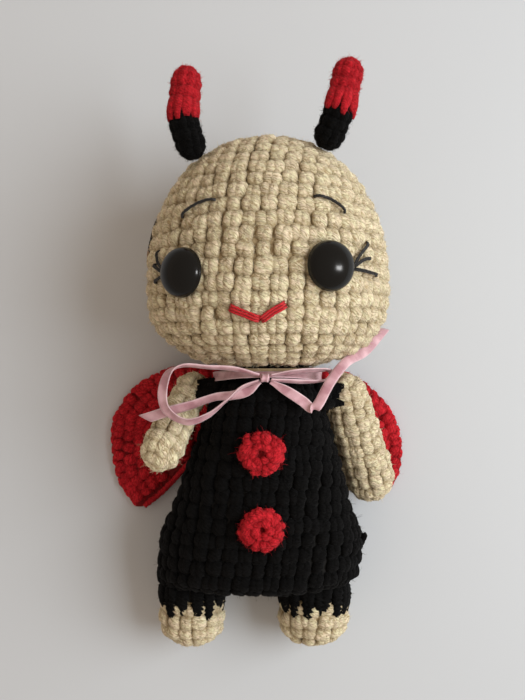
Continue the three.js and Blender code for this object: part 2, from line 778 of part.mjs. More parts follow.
const tailLeft = [
  [-2, -3.4, -1.3, 0.5, 0.8, 0], [-7, -4.4, -2.5, 0.3, 1, 0], [-12.5, -5, -3.1, 0.35, 1, 0],
  [-18.6, -7, -3.4, 0.35, 1, 0], [-24.4, -8.6, -4.2, 0.35, 1, 0.1], [-30, -10.4, -6.4, 0.35, 1, 0.2],
];
const tailRight = [
  [2, -3.2, 0.3, 0.7, 0.8, 0.3], [6.2, -5.2, -0.6, 0.8, 1, 0.2], [9.4, -6.8, -1.9, 0.9, 1, 0],
  [11.6, -8.4, -1.9, 1, 0.5, 0.5],
  [13.2, -6.6, -1, 1, -0.3, 0.2], [16.6, -0.6, -2, 1, -0.6, 0.2], [21, 4, -6.8, 0.7, -0.9, 0.2],
  [26.4, 6.6, -13.6, 0.4, -0.9, 0.3], [32.6, 12.6, -22, 0.4, -0.8, 0.5],
];

// A small knot of black yarn at the side of the hip
function yarnKnot() {
  const y = hip_y + 8.6;
  const { x, z, a } = bodyRound(y);
  const radius = yarn_knot_diameter / 2;
  return new THREE.SphereGeometry(radius, 10, 6).translate(x + a + radius + gap, y, z);
}

// Materials

const finish = (color, roughness) => new THREE.MeshStandardMaterial({ color, roughness, metalness: 0 });
const creamYarn = finish("#d3bd93", 0.9);
const blackYarn = finish("#15120f", 0.9);
const redYarn = finish("#b3121b", 0.9);
const fibre = finish("#f0eee8", 1);
const eyePlastic = finish("#080808", 0.12);
const washerPlastic = finish("#e9e9e4", 0.5);
const satin = finish("#dca3ac", 0.35);
const blackThread = finish("#0d0b0a", 0.7);
const redThread = finish("#a5141c", 0.8);

const doll = new THREE.Group();

function add(parent, name, geometry, material) {
  const mesh = new THREE.Mesh(geometry, material);
  mesh.name = name;
  parent.add(mesh);
}

const sides = [["left", -1], ["right", 1]];

const head = new THREE.Group();
add(head, "head_cover", headCover(), creamYarn);
add(head, "head_stuffing", headStuffing(), fibre);
for (const eye of eyes) {
  add(head, `eye_${eye.side}`, eyeGeometry(eye), eyePlastic);
  add(head, `eye_washer_${eye.side}`, washerGeometry(eye), washerPlastic);
}
for (const [name] of sides) {
  add(head, `brow_${name}`, faceThread(brows[name], face_thread), blackThread);
  add(head, `mouth_${name}`, faceThread(lips[name], mouth_thread), redThread);
  lashes[name].forEach((places, i) => {
    add(head, `lash_${name}_${i + 1}`, faceThread(places, face_thread), blackThread);
  });
}

const neck = new THREE.Group();
add(neck, "neck_seam", neckSeam(), creamYarn);

const body = new THREE.Group();
add(body, "body_cover", bodyCover(), blackYarn);
add(body, "body_stuffing", bodyStuffing(), fibre);
add(body, "button_upper", buttonGeometry(button_y_upper), redYarn);
add(body, "button_lower", buttonGeometry(button_y_lower), redYarn);
add(body, "neck_band", neckBand(), satin);
add(body, "bow_knot", bowKnot(), satin);
add(body, "bow_loop_left", strap(fromKnot(loopLeft), 34), satin);
add(body, "bow_loop_right", strap(fromKnot(loopRight), 26), satin);
add(body, "bow_tail_left", strap(fromKnot(tailLeft), 14), satin);
add(body, "bow_tail_right", strap(fromKnot(tailRight), 26), satin);
add(body, "yarn_knot", yarnKnot(), blackYarn);

for (const [name, side] of sides) {
  add(body, `foot_cover_${name}`, footCover(side), creamYarn);

  const arm = new THREE.Group();
  const { cover, stuffing } = armGeometries(side);
  add(arm, `arm_cover_${name}`, cover, creamYarn);
  add(arm, `arm_stuffing_${name}`, stuffing, fibre);
  add(arm, `arm_seam_${name}`, armSeam(side), creamYarn);
  body.add(arm);

  const antenna = new THREE.Group();
  const parts = antennaGeometries(side);
  add(antenna, `antenna_stem_${name}`, parts.stem, blackYarn);
  add(antenna, `antenna_tip_${name}`, parts.tip, redYarn);
  add(antenna, `antenna_stuffing_${name}`, parts.stuffing, fibre);
  head.add(antenna);

  add(body, `wing_${name}`, wingGeometry(side), redYarn);
}

doll.add(body, neck, head);

// The origin is the middle of the doll's footprint, on the surface that it lies on.
const size = new THREE.Box3().setFromObject(doll, true);
const middle = size.getCenter(new THREE.Vector3());
for (const group of [body, neck, head]) group.position.set(-middle.x, -middle.y, -size.min.z);

export default doll;
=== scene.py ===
"""A crocheted ladybug doll, with every stitch made of plied yarn.

Lengths are in millimetres until a mesh is made. "Left" and "right" are as the face is seen.
The doll lies on its back: +Z comes out of its front, and +Y runs to the top of its head.
"""
import math

import bpy
import numpy as np
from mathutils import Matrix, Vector


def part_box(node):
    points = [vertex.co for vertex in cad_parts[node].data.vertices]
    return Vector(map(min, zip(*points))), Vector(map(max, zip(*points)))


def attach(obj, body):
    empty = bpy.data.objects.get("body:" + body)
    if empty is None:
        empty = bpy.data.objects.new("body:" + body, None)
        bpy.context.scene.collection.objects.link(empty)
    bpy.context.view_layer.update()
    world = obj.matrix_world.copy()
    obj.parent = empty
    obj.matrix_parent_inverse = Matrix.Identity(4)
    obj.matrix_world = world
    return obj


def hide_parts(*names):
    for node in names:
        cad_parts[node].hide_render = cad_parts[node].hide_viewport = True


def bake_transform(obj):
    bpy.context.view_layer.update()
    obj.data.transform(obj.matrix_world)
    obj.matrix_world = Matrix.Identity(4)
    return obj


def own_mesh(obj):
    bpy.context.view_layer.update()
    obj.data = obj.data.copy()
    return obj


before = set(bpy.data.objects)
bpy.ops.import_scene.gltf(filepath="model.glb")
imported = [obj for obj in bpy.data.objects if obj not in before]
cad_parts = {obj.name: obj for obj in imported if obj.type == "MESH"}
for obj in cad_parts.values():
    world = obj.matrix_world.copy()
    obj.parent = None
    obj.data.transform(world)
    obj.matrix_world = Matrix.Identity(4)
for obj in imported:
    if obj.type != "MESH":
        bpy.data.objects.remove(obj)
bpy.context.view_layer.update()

MM = 0.001
UP = np.array([0.0, 0.0, 1.0])

# Camera, straight above the doll, and surroundings
CAMERA_HEIGHT = 260.0
FOCAL_PIXELS = 867.0
PHOTO_HEIGHT = 700.0
SENSOR = 36.0
BACKDROP = (0.80, 0.80, 0.82)  # seen behind the floor
ROOM_LIGHT = (1.0, 0.84, 0.69)

# Yarn and stitches
STITCH_WIDTH = 4.2
ROUND_HEIGHT = 3.9
YARN_RADIUS = 1.6
YARN_FLATNESS = 0.72  # thickness of the pressed yarn off the cloth, as a share of its width
PLIES = 5
PLY_TWIST = -6.2  # length of yarn in one full turn of its plies, to the left
PLY_GROOVE = 0.93  # radius between two plies, as a share of the yarn's
PLY_WIDTH = 0.8
PLY_RISE = 1.9  # how far a ply runs along the yarn in one turn round it
YARN_GIRTH = 8.2
PAINTED_HOLLOW_SHADE = 0.9  # painted shade: the yarn's colour deep between stitches, as a share of its dark colour
PAINTED_SHADE_DEPTH = 1.35  # how far below the cloth's surface the yarn gets that painted shade
LEAN = 0.07  # how far each round's stitches lean along the round, in stitches
GAP = 0.3  # between pieces that are sewn together
FLOOR_CLEARANCE = 0.02
THREAD = {"plies": 3, "twist": 3.2, "groove": 0.8}  # embroidery thread, as a strand
# Loose fibres on each piece
FUZZ = {"head": 34000, "body_lower": 18000, "body_upper": 12000, "foot": 3000, "arm": 5000,
        "sewing": 900, "antenna": 8000, "wing": 10000, "button": 1500}

# Head
HEAD_WIDTH = 63.8
HEAD_DEPTH = 62.0
HEAD_X = 1.4
HEAD_WIDEST_Y = 16.0
HEAD_ABOVE = 39.8
HEAD_BELOW = 20.8
FULLNESS_ABOVE = 2.15
FULLNESS_BELOW = 2.5
REST_FLAT = 0.5
HEAD_Z = HEAD_DEPTH / 2 - REST_FLAT
HEAD_TURN = -6.3  # degrees that the face looks to the left
HEAD_ROLL = 2.0
HEAD_STITCHES = 48  # the most in one round

# Neck
NECK_Y = -7.5
NECK_RADIUS = 11.2

# Body
SHOULDER_Y = -13.3
SHOULDER_RISE = 5.0
SHOULDER_WIDTH = 30.0
SHOULDER_DEPTH = 26.0
HIP_Y = -61.0
HIP_WIDTH = 56.0
HIP_DEPTH = 36.0
HIP_SHIFT = -2.2
CROTCH_DROP = 5.0
BODY_FULLNESS = 2.8
BODY_RELIEF = 0.72  # height of the black yarn's stitches, as a share of the cream yarn's
HIP_BULGE = 1.6  # how far the stuffing pushes the sides out
BULGE_Y = -51.0
BULGE_LENGTH = 7.0

# Legs and feet
LEG_SPACING = 34.4
LEG_SHIFT = -1.9  # how far the legs lie to the left of the hips
SWAY_Y = -52.0  # below this height the hips swing over to the legs
SWAY_SHARE = 0.3  # share of the legs' shift that the hips take
LEG_WIDTHS = {-1: 18.4, 1: 20.2}
LEG_DEPTH = 18.4
LEG_TOP_Y = -60.0
FOOT_END_Y = -84.0
FOOT_Z = 11.5
ANKLE_Y = -69.4
FOOT_FULLNESS = 2.5
SOLE_LENGTH = 0.42  # length of the rounded sole, as a share of the leg's width
LEG_TOP_SIZE = 1.03  # size of the leg where it goes into the body, as a share of its width

# Arms, by side: how much the yarn adds at the hand and the shoulder, thickness at the shoulder and
# the hand, length, seat and direction
ARMS = {
    "left": {"puff": (0.7, -0.2), "thick": 9.6, "hand": 9.6, "length": 29.6, "y": -12.2, "azimuth": 99,
             "swing": (-0.35, -0.77, 0.53)},
    "right": {"puff": (0.7, 0.8), "thick": 11.0, "hand": 12.8, "length": 41.5, "y": -14.0, "azimuth": 101,
              "swing": (0.29, -0.84, -0.45)},
}
ARM_SEAM_THREAD = 0.5
SEWING_STITCHES = 4  # black stitches that show where an arm is sewn on
SEWING_AZIMUTH = 66  # where they leave the body
SEWING_TOP = 4.4  # how far above the arm's seat the first one leaves it
SEWING_STEP = 1.7
SEWING_RADIUS = 1.4
SEWING_POINT = 0.6

# Antennae
ANTENNA_THICKNESS = 8.2
ANTENNA_LENGTH = 24.0
ANTENNA_TIP = 11.0
ANTENNA_GAUGE = {"width": 2.7, "height": 2.5, "least": 8}  # thin yarn, in small stitches
ANTENNA_YARN = {"radius": 1.1, "relief": 0.35, "rough": 0.7}
ANTENNAE = {
    "left": {"y": 48.3, "azimuth": -58, "lean": 0.08},
    "right": {"y": 50.3, "azimuth": 50, "lean": 0.24},
}

# Wings
WING_THICKNESS = 3.4
WING_CLEARANCE = 0.5
WING_SEAM_X = 7.0
WING_SEAM_TOP_Y = -11.6
WING_SEAM_LENGTH = 11.0
WING_FALL = 31.0  # distance from the seam at which a wing lies flat
WING_ROW = 3.1
WING_ROWS = 8  # rows on each face of a wing, inwards from its outer edge
WING_STITCH_WIDTH = 3.6
WING_YARN = {"radius": 1.34, "relief": 0.8}
WINGS = {
    "left": {
        "outer": [(-11, -5.6), (-24, -4.4), (-36, -9.4), (-43.6, -18.5), (-45, -29),
                  (-42.6, -39.5), (-37.6, -46.4)],
        "inner": [(-11.5, -22), (-16.5, -27.5), (-21, -32.5), (-25.5, -37.5),
                  (-30.3, -42.4), (-35.4, -46.4)],
    },
    "right": {
        "outer": [(13, -5.8), (24, -6.4), (33, -11.8), (39.4, -20), (41.4, -28.6),
                  (40.8, -36), (37.6, -42)],
        "inner": [(13.5, -21.6), (18.5, -26.4), (23, -30.8), (27.4, -35), (31, -38.6), (35, -41.8)],
    },
}

# Face
EYE_DIAMETER = 12.0
EYE_HEIGHT = 4.4
EYE_RIM = 0.7
EYE_Y = 18.9
EYE_SPREAD = 32.5
SHANK_DIAMETER = 4.0
SHANK_LENGTH = 8.0
BROW_RADIUS = 0.42
LASH_RADIUS = 0.28
LIP_RADIUS = 0.4
LIP_STRANDS = (-0.62, 0.0, 0.62)  # how far aside each lies
BROWS = {
    "left": [(-38.2, 32.7), (-30, 34.9), (-19.9, 35.9)],
    "right": [(28.7, 35.7), (37, 34.6), (44.8, 32.1)],
}
LIPS = {
    "left": [(-10.2, 10.1), (-3.8, 8.7), (2.6, 7.2)],
    "right": [(13.2, 10.3), (7.7, 8.8), (2.9, 7.0)],
}
LASHES = {
    "left": [[(-44.6, 20), (-50, 22.2), (-53, 25.4)], [(-44.6, 19.4), (-55.7, 22)],
             [(-44.6, 18.8), (-54, 17.6)]],
    "right": [[(44.8, 19.0), (48.8, 21.7), (57.2, 25.2)], [(44.8, 18.8), (51, 20.6), (57.3, 21.2)],
              [(44.8, 18.4), (62.5, 17.2)]],
}

# Buttons
BUTTON_DIAMETER = 12.6
BUTTON_RISE = 2.6
BUTTONS = {"upper": (-25.8, -0.9), "lower": (-45.6, 0.0)}  # heights, and how far they lie aside
BUTTON_ROUNDS = [(0.5, 2.6, 6, 0), (3.1, 2.8, 12, 0), (5.9, 2.4, 12, 1)]  # as plan_rounds gives them

# The small knot of yarn at the hip
TIE_RISE = 8.6
TIE_SIZE = 1.15
TIE_RADIUS = 0.75

# Ribbon: places are measured from the knot's middle, each with the direction of the ribbon's width
RIBBON_WIDTH = 3.2
RIBBON_THICKNESS = 0.4
DRAWN_WIDTH = 2.6  # the same ribbon where it is drawn tight and cups
RIBBON_CUP = 0.22
KNOT_GATHER = 0.55  # share of that width that the knot gathers up
GATHER_LENGTH = 3.0
KNOT_HEIGHT = 3.6
KNOT_DEPTH = 2.8
KNOT_STRAP = {"width": 1.7, "thickness": 0.5}  # the turn of ribbon round the crossing
KNOT_INSET = (1.0, 0.35)  # how far it is drawn in, up the doll and out of it
BAND_RADIUS = NECK_RADIUS + 3 * GAP + 0.9 + RIBBON_THICKNESS
BOW_RISE = 1.0  # how far the bow is pushed up towards the head
KNOT = np.array([HEAD_X - 0.8, NECK_Y - 0.4,
                 HEAD_Z + BAND_RADIUS + RIBBON_THICKNESS / 2 + GAP + KNOT_DEPTH / 2])
LOOP_LEFT = [
    (-1.4, 0.7, 0, 0, 0.5, 1), (-8, 2.2, 0.4, 0, 0.5, 1), (-14, 2.6, 0.8, 0, 0.35, 1),
    (-20, 3, 1, 0.3, 0.3, 1), (-23.8, 1, 0.2, 0.8, 0.1, 0.8), (-25.4, -4, -1, 1, 0.2, 0.4),
    (-24.2, -8.2, -1, 0.8, 0.4, 0.6), (-19.4, -10.8, -0.2, 0, 0.7, 0.8), (-14.2, -9.2, 0.4, 0.2, 0.6, 0.8),
    (-9.6, -5.6, 0.6, 0.3, 0.4, 0.8), (-6, -2.4, 0.4, 0.2, 0.4, 1), (-1.5, -0.6, 0, 0, 0.4, 1),
]
LOOP_RIGHT = [
    (1.4, 0.7, 0, 0, 0.4, 1), (8, 1.7, -1.2, 0, 0.4, 1), (13, 1.9, -3.4, 0, 0.4, 1),
    (16.4, 1.7, -5.8, 0.3, 0.2, 1), (17, 0, -7, 0.5, 0, 1), (14, -1, -5.2, 0.2, 0.2, 1),
    (9, -1.1, -2.6, 0, 0.4, 1), (1.5, -0.5, -0.2, 0, 0.4, 1),
]
TAIL_LEFT = [
    (-1.2, -0.9, -1.2, 0.6, 0.8, 0), (-4, -3.2, -1.8, 0.45, 0.9, 0), (-8, -4.5, -2.5, 0.3, 0.8, 0.5),
    (-12.5, -5, -3.1, 0.3, 0.7, 0.6), (-18.6, -7, -3.4, 0.3, 0.8, 0.5), (-24.4, -8.6, -4.2, 0.35, 1, 0.4),
    (-30.6, -10.6, -6.7, 0.35, 1, 0.2),
]
TAIL_RIGHT = [
    (1.4, -0.9, -0.8, 0.6, 0.8, 0.3), (4.2, -2.5, -0.7, 0.6, 0.8, 0.3), (7, -4.2, -1.1, 0.7, 1, 0.2),
    (9.6, -6, -1.8, 0.9, 1, 0), (11.7, -7.6, -1.9, 1, 0.5, 0.5), (13.2, -6.6, -1, 1, -0.3, 0.2),
    (16.6, -0.6, -2, 1, -0.6, 0.2), (21, 4, -6.8, 0.7, -0.9, 0.2), (26.4, 6.6, -13.6, 0.4, -0.9, 0.3),
    (32.6, 12.6, -22, 0.4, -0.8, 0.5),
]

SIDES = {"left": -1, "right": 1}
rng = np.random.default_rng(7)

# The picture's middle is the origin of every value above; the doll's own origin lies beside it.
SHIFT = np.mean(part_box("bow_knot"), axis=0) / MM - KNOT
SHIFT[2] = 0


def metres(points):
    return (np.asarray(points, float) + SHIFT) * MM


def unit(vectors):
    vectors = np.asarray(vectors, float)
    return vectors / np.maximum(np.linalg.norm(vectors, axis=-1, keepdims=True), 1e-12)


def way_along(points):
    """The way along a line at each of its points."""
    steps = np.linalg.norm(np.diff(points, axis=-2), axis=-1)
    return np.cumsum(np.insert(steps, 0, 0, axis=-1), axis=-1)


def rows_at(where, along, table):
    """The rows of a table at places along it."""
    return np.stack([np.interp(where, along, column) for column in np.transpose(table)], -1)


# Materials

class Nodes:
    """A new material's node tree, with short calls for the nodes that the yarns share."""

    def __init__(self, name):
        self.material = bpy.data.materials.new(name)
        self.material.use_nodes = True
        self.tree = self.material.node_tree
        self.shader = self.tree.nodes["Principled BSDF"]

    def put(self, socket, value):
        if isinstance(value, (int, float)):
            socket.default_value = value
        elif isinstance(value, tuple):
            socket.default_value = (*value, 1) if len(socket.default_value) == 4 else value
        else:
            self.tree.links.new(value, socket)

    def node(self, kind, output=0, **inputs):
        made = self.tree.nodes.new(kind)
        for name, value in inputs.items():
            self.put(made.inputs[name.replace("_", " ")], value)
        return made.outputs[output]

    def set_node(self, kind, setting, choice, inputs, output=0):
        made = self.tree.nodes.new(kind)
        setattr(made, setting, choice)
        for slot, value in inputs:
            self.put(made.inputs[slot], value)
        return made.outputs[output]

    def math(self, operation, *values):
        return self.set_node("ShaderNodeMath", "operation", operation, enumerate(values))

    def mix(self, factor, low, high):
        inputs = ((0, factor), (6, low), (7, high))
        return self.set_node("ShaderNodeMix", "data_type", "RGBA", inputs, 2)

    def place(self, x, y, z):
        return self.node("ShaderNodeCombineXYZ", X=x, Y=y, Z=z)

    def noise(self, vector, scale, detail=2.0, roughness=0.5):
        placed = {} if vector is None else {"Vector": vector}
        return self.node("ShaderNodeTexNoise", "Fac", **placed,
                         Scale=scale, Detail=detail, Roughness=roughness)

    def times(self, value, factor):
        return self.math("MULTIPLY", value, factor)

    def weighted(self, *pairs):
        """The sum of values times their weights."""
        total = self.math("MULTIPLY", *pairs[0])
        for value, weight in pairs[1:]:
            total = self.math("MULTIPLY_ADD", value, weight, total)
        return total

    def stretched(self, value, low, high, start=0.0, end=1.0):
        """The value moved so that low to high becomes start to end."""
        return self.node("ShaderNodeMapRange", Value=value, From_Min=low, From_Max=high,
                         To_Min=start, To_Max=end)

    def ridges(self, value, width):
        """Rounded ridges of a width, with a sharp groove after each."""
        return self.math("ABSOLUTE", self.math("SINE", self.times(value, math.pi / width)))

    def value_of(self, attribute):
        return self.set_node("ShaderNodeAttribute", "attribute_name", attribute, (), "Fac")

    def along_and_around(self):
        split = self.tree.nodes.new("ShaderNodeSeparateXYZ")
        self.put(split.inputs[0], self.set_node("ShaderNodeUVMap", "uv_map", "yarn", ()))
        return split.outputs[0], split.outputs[1]

    def bump(self, height, distance):
        bump = self.node("ShaderNodeBump", Height=height, Distance=distance * MM, Strength=1.0)
        self.put(self.shader.inputs["Normal"], bump)

    def finish(self, **inputs):
        for name, value in inputs.items():
            self.put(self.shader.inputs[name.replace("_", " ")], value)
        return self.material


def yarn_material(name, light, dark, sheen=0.3, shine=0.2, warm=None, cool=None):
    """Plied yarn: the UV map runs along each strand in millimetres and once round it. Its height attribute
    paints shade deep in the hollows between stitches.
    """
    n = Nodes(name)
    along, around = n.along_and_around()
    tone = n.value_of("tone")
    seed = n.times(tone, 40.0)
    about = n.times(around, YARN_GIRTH)
    wander = n.noise(n.place(along, n.times(about, 0.6), seed), 0.7)
    across = n.weighted((along, 1.0), (around, PLY_RISE), (wander, 3.4))
    ply = n.ridges(across, PLY_WIDTH)
    strands = n.place(n.times(across, 4.5), n.times(about, 0.9), seed)
    fibre = n.noise(strands, 1.0, 3.0, 0.6)
    speck = n.noise(n.place(along, about, seed), 2.2, 2.0, 0.6)
    n.bump(n.weighted((ply, 0.6), (fibre, 1.8)), 0.22)
    # The plies' grooves are painted darker, as shade; the fibres, specks and tone vary the yarn's own colour
    shade = n.weighted((ply, 0.35), (fibre, 1.6), (tone, 0.12), (speck, 1.2))
    shade = n.stretched(shade, 1.30, 1.92)
    colour = n.mix(shade, dark, light)
    if warm:
        hue = n.noise(n.place(along, about, n.times(tone, 90.0)), 0.9, 3.0)
        other = n.mix(n.stretched(hue, 0.42, 0.58), cool, warm)
        colour = n.mix(0.5, colour, n.mix(shade, dark, other))
    # Painted shade: the yarn's colour darkens deep in the hollows between stitches
    hollow = tuple(PAINTED_HOLLOW_SHADE * c for c in dark)
    colour = n.mix(n.value_of("height"), hollow, colour)
    tint = tuple(min(1.0, 0.3 + 0.7 * c / max(light)) for c in light)
    return n.finish(Base_Color=colour, Roughness=0.88, Sheen_Weight=sheen,
                    Sheen_Roughness=0.5, Sheen_Tint=tint, Specular_IOR_Level=shine)


def grained(name, dark, light, grain, roughness, rise=0.0):
    """A plain finish in two shades. grain is the scale, detail and roughness of its noise."""
    n = Nodes(name)
    grain = n.noise(None, *grain)
    if rise:
        n.bump(grain, rise)
    return n.finish(Base_Color=n.mix(grain, dark, light), Roughness=roughness)


def cloth_inside(name, colour):
    """The inside of the cloth, seen through the small holes between stitches, painted darker than the yarn
    as the shade in there.
    """
    return grained(name, tuple(0.5 * c for c in colour), colour, (900.0, 3.0), 0.95)


def thread_material(name, light, dark):
    """Embroidery thread: fine twisted strands with a slight shine."""
    n = Nodes(name)
    along, around = n.along_and_around()
    strand = n.ridges(around, 1 / PLIES)
    fibre = n.noise(n.place(n.times(around, 24.0), n.times(along, 0.9), 0.0), 1.2, 3.0)
    n.bump(n.math("ADD", strand, fibre), 0.08)
    # The grooves between the strands are painted darker, as shade; the fibre noise varies the thread's own
    # colour
    shade = n.weighted((strand, 0.6), (fibre, 0.6))
    return n.finish(Base_Color=n.mix(shade, dark, light), Roughness=0.6, Sheen_Weight=0.1)


def satin_material():
    """Satin ribbon: fine crosswise threads, a paler weave at each edge that is also painted sheen, broad
    patches of painted sheen along it and a soft shine.
    """
    n = Nodes("satin_ribbon")
    along, across = n.along_and_around()
    threads = n.math("SINE", n.times(along, 2 * math.pi / 0.22))
    streak = n.noise(n.place(n.times(along, 0.6), n.times(across, 8.0), 0.0), 3.0, 3.0)
    n.bump(n.weighted((threads, 0.35), (streak, 1.0)), 0.05)
    # Painted sheen: broad lighter patches along the ribbon, standing for its shine
    painted_sheen = n.noise(n.place(along, n.times(across, 1.5), 3.0), 0.3, 2.0)
    shade = n.weighted((streak, 0.5), (n.stretched(painted_sheen, 0.38, 0.66), 0.6))
    # The edges are painted lighter: partly their weave, partly the sheen along them
    edge = n.math("ABSOLUTE", n.math("SUBTRACT", across, 0.5))
    woven_edge_and_sheen = n.stretched(edge, 0.38, 0.46)
    face = n.mix(shade, (0.40, 0.15, 0.19), (0.80, 0.50, 0.55))
    colour = n.mix(n.times(woven_edge_and_sheen, 0.45), face, (0.90, 0.72, 0.75))
    return n.finish(Base_Color=colour, Roughness=0.3, Sheen_Weight=0.4, Sheen_Roughness=0.3,
                    Specular_IOR_Level=0.7, Anisotropic=0.5)


def eye_material():
    """Glossy plastic with faint smears."""
    n = Nodes("eye_plastic")
    smear = n.noise(None, 260.0, 3.0)
    rough = n.stretched(smear, 0.3, 0.8, 0.12, 0.28)
    colour = n.mix(smear, (0.004, 0.004, 0.004), (0.010, 0.009, 0.008))
    return n.finish(Base_Color=colour, Roughness=rough, Specular_IOR_Level=0.18)


CREAM = yarn_material("cream_yarn", (0.89, 0.785, 0.565), (0.40, 0.295, 0.16),
                      warm=(0.91, 0.70, 0.53), cool=(0.83, 0.785, 0.48))
BLACK = yarn_material("black_yarn", (0.0052, 0.0050, 0.0052), (0.0012, 0.0012, 0.0012),
                      sheen=0.02, shine=0.06)
RED = yarn_material("red_yarn", (0.66, 0.022, 0.034), (0.27, 0.005, 0.009), sheen=0.10, shine=0.1)
# Insides painted dark, as the shade between stitches
CREAM_INSIDE = cloth_inside("cream_inside", (0.50, 0.37, 0.21))
BLACK_INSIDE = cloth_inside("black_inside", (0.004, 0.004, 0.004))
RED_INSIDE = cloth_inside("red_inside", (0.22, 0.003, 0.006))
BLACK_THREAD = thread_material("black_thread", (0.012, 0.011, 0.011), (0.004, 0.004, 0.004))
RED_THREAD = thread_material("red_thread", (0.78, 0.014, 0.024), (0.36, 0.004, 0.008))
TAN_THREAD = thread_material("tan_thread", (0.42, 0.26, 0.14), (0.24, 0.14, 0.07))
SATIN = satin_material()
EYE_PLASTIC = eye_material()
FIBRE = grained("fibre", (0.62, 0.61, 0.58), (0.88, 0.87, 0.84), (500.0, 6.0, 0.7), 1.0, rise=0.6)
WASHER = grained("washer_plastic", (0.74, 0.74, 0.71), (0.82, 0.82, 0.80), (1200.0, 2.0), 0.45, rise=0.02)

# The materials of each slot. A crocheted piece has a second one on its inside, painted dark as shade.
FINISHES = {
    "cream_yarn": [CREAM, CREAM_INSIDE],
    "black_yarn": [BLACK, BLACK_INSIDE],
    "red_yarn": [RED, RED_INSIDE],
    "black_thread": [BLACK_THREAD],
    "red_thread": [RED_THREAD],
    "satin_ribbon": [SATIN],
    "eye_plastic": [EYE_PLASTIC],
}


# Meshes

def shown(name, data):
    """A new object in the scene."""
    made = bpy.data.objects.new(name, data)
    bpy.context.scene.collection.objects.link(made)
    return made


class Build:
    """Collects faces, and makes one mesh object of them."""

    def __init__(self):
        self.points, self.loops, self.sizes = [], [], []
        self.uvs, self.tones, self.heights, self.slots = [], [], [], []
        self.roots, self.outward = [], []
        self.count = 0

    def add(self, points, tone=0.5, height=1.0):
        """Adds points and says where they start. tone is a shade, and height tells how far they lie up
        out of the hollows between stitches, which sets how much painted shade they get. Each is one value,
        or one for each point."""
        points = np.asarray(points, float).reshape(-1, 3)
        start = self.count
        self.points.append(points)
        self.tones.append(np.broadcast_to(tone, len(points)))
        self.heights.append(np.broadcast_to(height, len(points)))
        self.count += len(points)
        return start

    def faces(self, start, faces, uvs=None, slot=0):
        faces = np.asarray(faces)
        uvs = np.zeros((*faces.shape, 2)) if uvs is None else np.asarray(uvs, float)
        self.loops.append((faces + start).ravel())
        self.sizes.append(np.full(len(faces), faces.shape[1]))
        self.uvs.append(uvs.reshape(-1, 2))
        self.slots.append(np.full(len(faces), slot))

    def object(self, name, materials):
        """Makes the object, with as many of the materials as its faces use."""
        points = np.concatenate(self.points)
        points[:, 2] = np.maximum(points[:, 2], FLOOR_CLEARANCE)
        loops = np.concatenate(self.loops)
        sizes = np.concatenate(self.sizes)
        slots = np.concatenate(self.slots)
        mesh = bpy.data.meshes.new(name)
        mesh.vertices.add(len(points))
        mesh.vertices.foreach_set("co", metres(points).astype(np.float32).ravel())
        mesh.loops.add(len(loops))
        mesh.loops.foreach_set("vertex_index", loops.astype(np.int32))
        mesh.polygons.add(len(sizes))
        starts = np.concatenate([[0], np.cumsum(sizes)[:-1]])
        mesh.polygons.foreach_set("loop_start", starts.astype(np.int32))
        mesh.polygons.foreach_set("material_index", slots.astype(np.int32))
        mesh.polygons.foreach_set("use_smooth", np.ones(len(sizes), bool))
        layer = mesh.uv_layers.new(name="yarn")
        layer.uv.foreach_set("vector", np.concatenate(self.uvs).astype(np.float32).ravel())
        for attribute, values in (("tone", self.tones), ("height", self.heights)):
            made = mesh.attributes.new(attribute, "FLOAT", "POINT")
            made.data.foreach_set("value", np.concatenate(values).astype(np.float32))
        for each in materials[:slots.max() + 1]:
            mesh.materials.append(each)
        mesh.update(calc_edges=True)
        mesh.validate()
        return shown(name, mesh)


def piece(build, name, body, slot, *replaced, fill=None, finish=None):
    """Makes an object that rides on a body and stands for CAD nodes."""
    made = build.object(name, finish or FINISHES[slot])
    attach(made, body)
    if replaced:
        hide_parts(*replaced)
    return made


def ring_faces(low, around):
    """Faces between rings of points. low is where the lower ring of each pair starts."""
    low = np.asarray(low)[..., None]
    k = np.arange(around)
    after = (k + 1) % around
    return np.stack([low + k, low + after, low + around + after, low + around + k], -1).reshape(-1, 4)


def ring_uvs(run, v0, v1):
    """The UV map of those faces. run is each ring's way along, v0 and v1 each face's sides."""
    u0, u1 = run[..., :-1, None], run[..., 1:, None]
    return np.stack(np.broadcast_arrays(u0, v0, u0, v1, u1, v1, u1, v0), -1).reshape(-1, 4, 2)


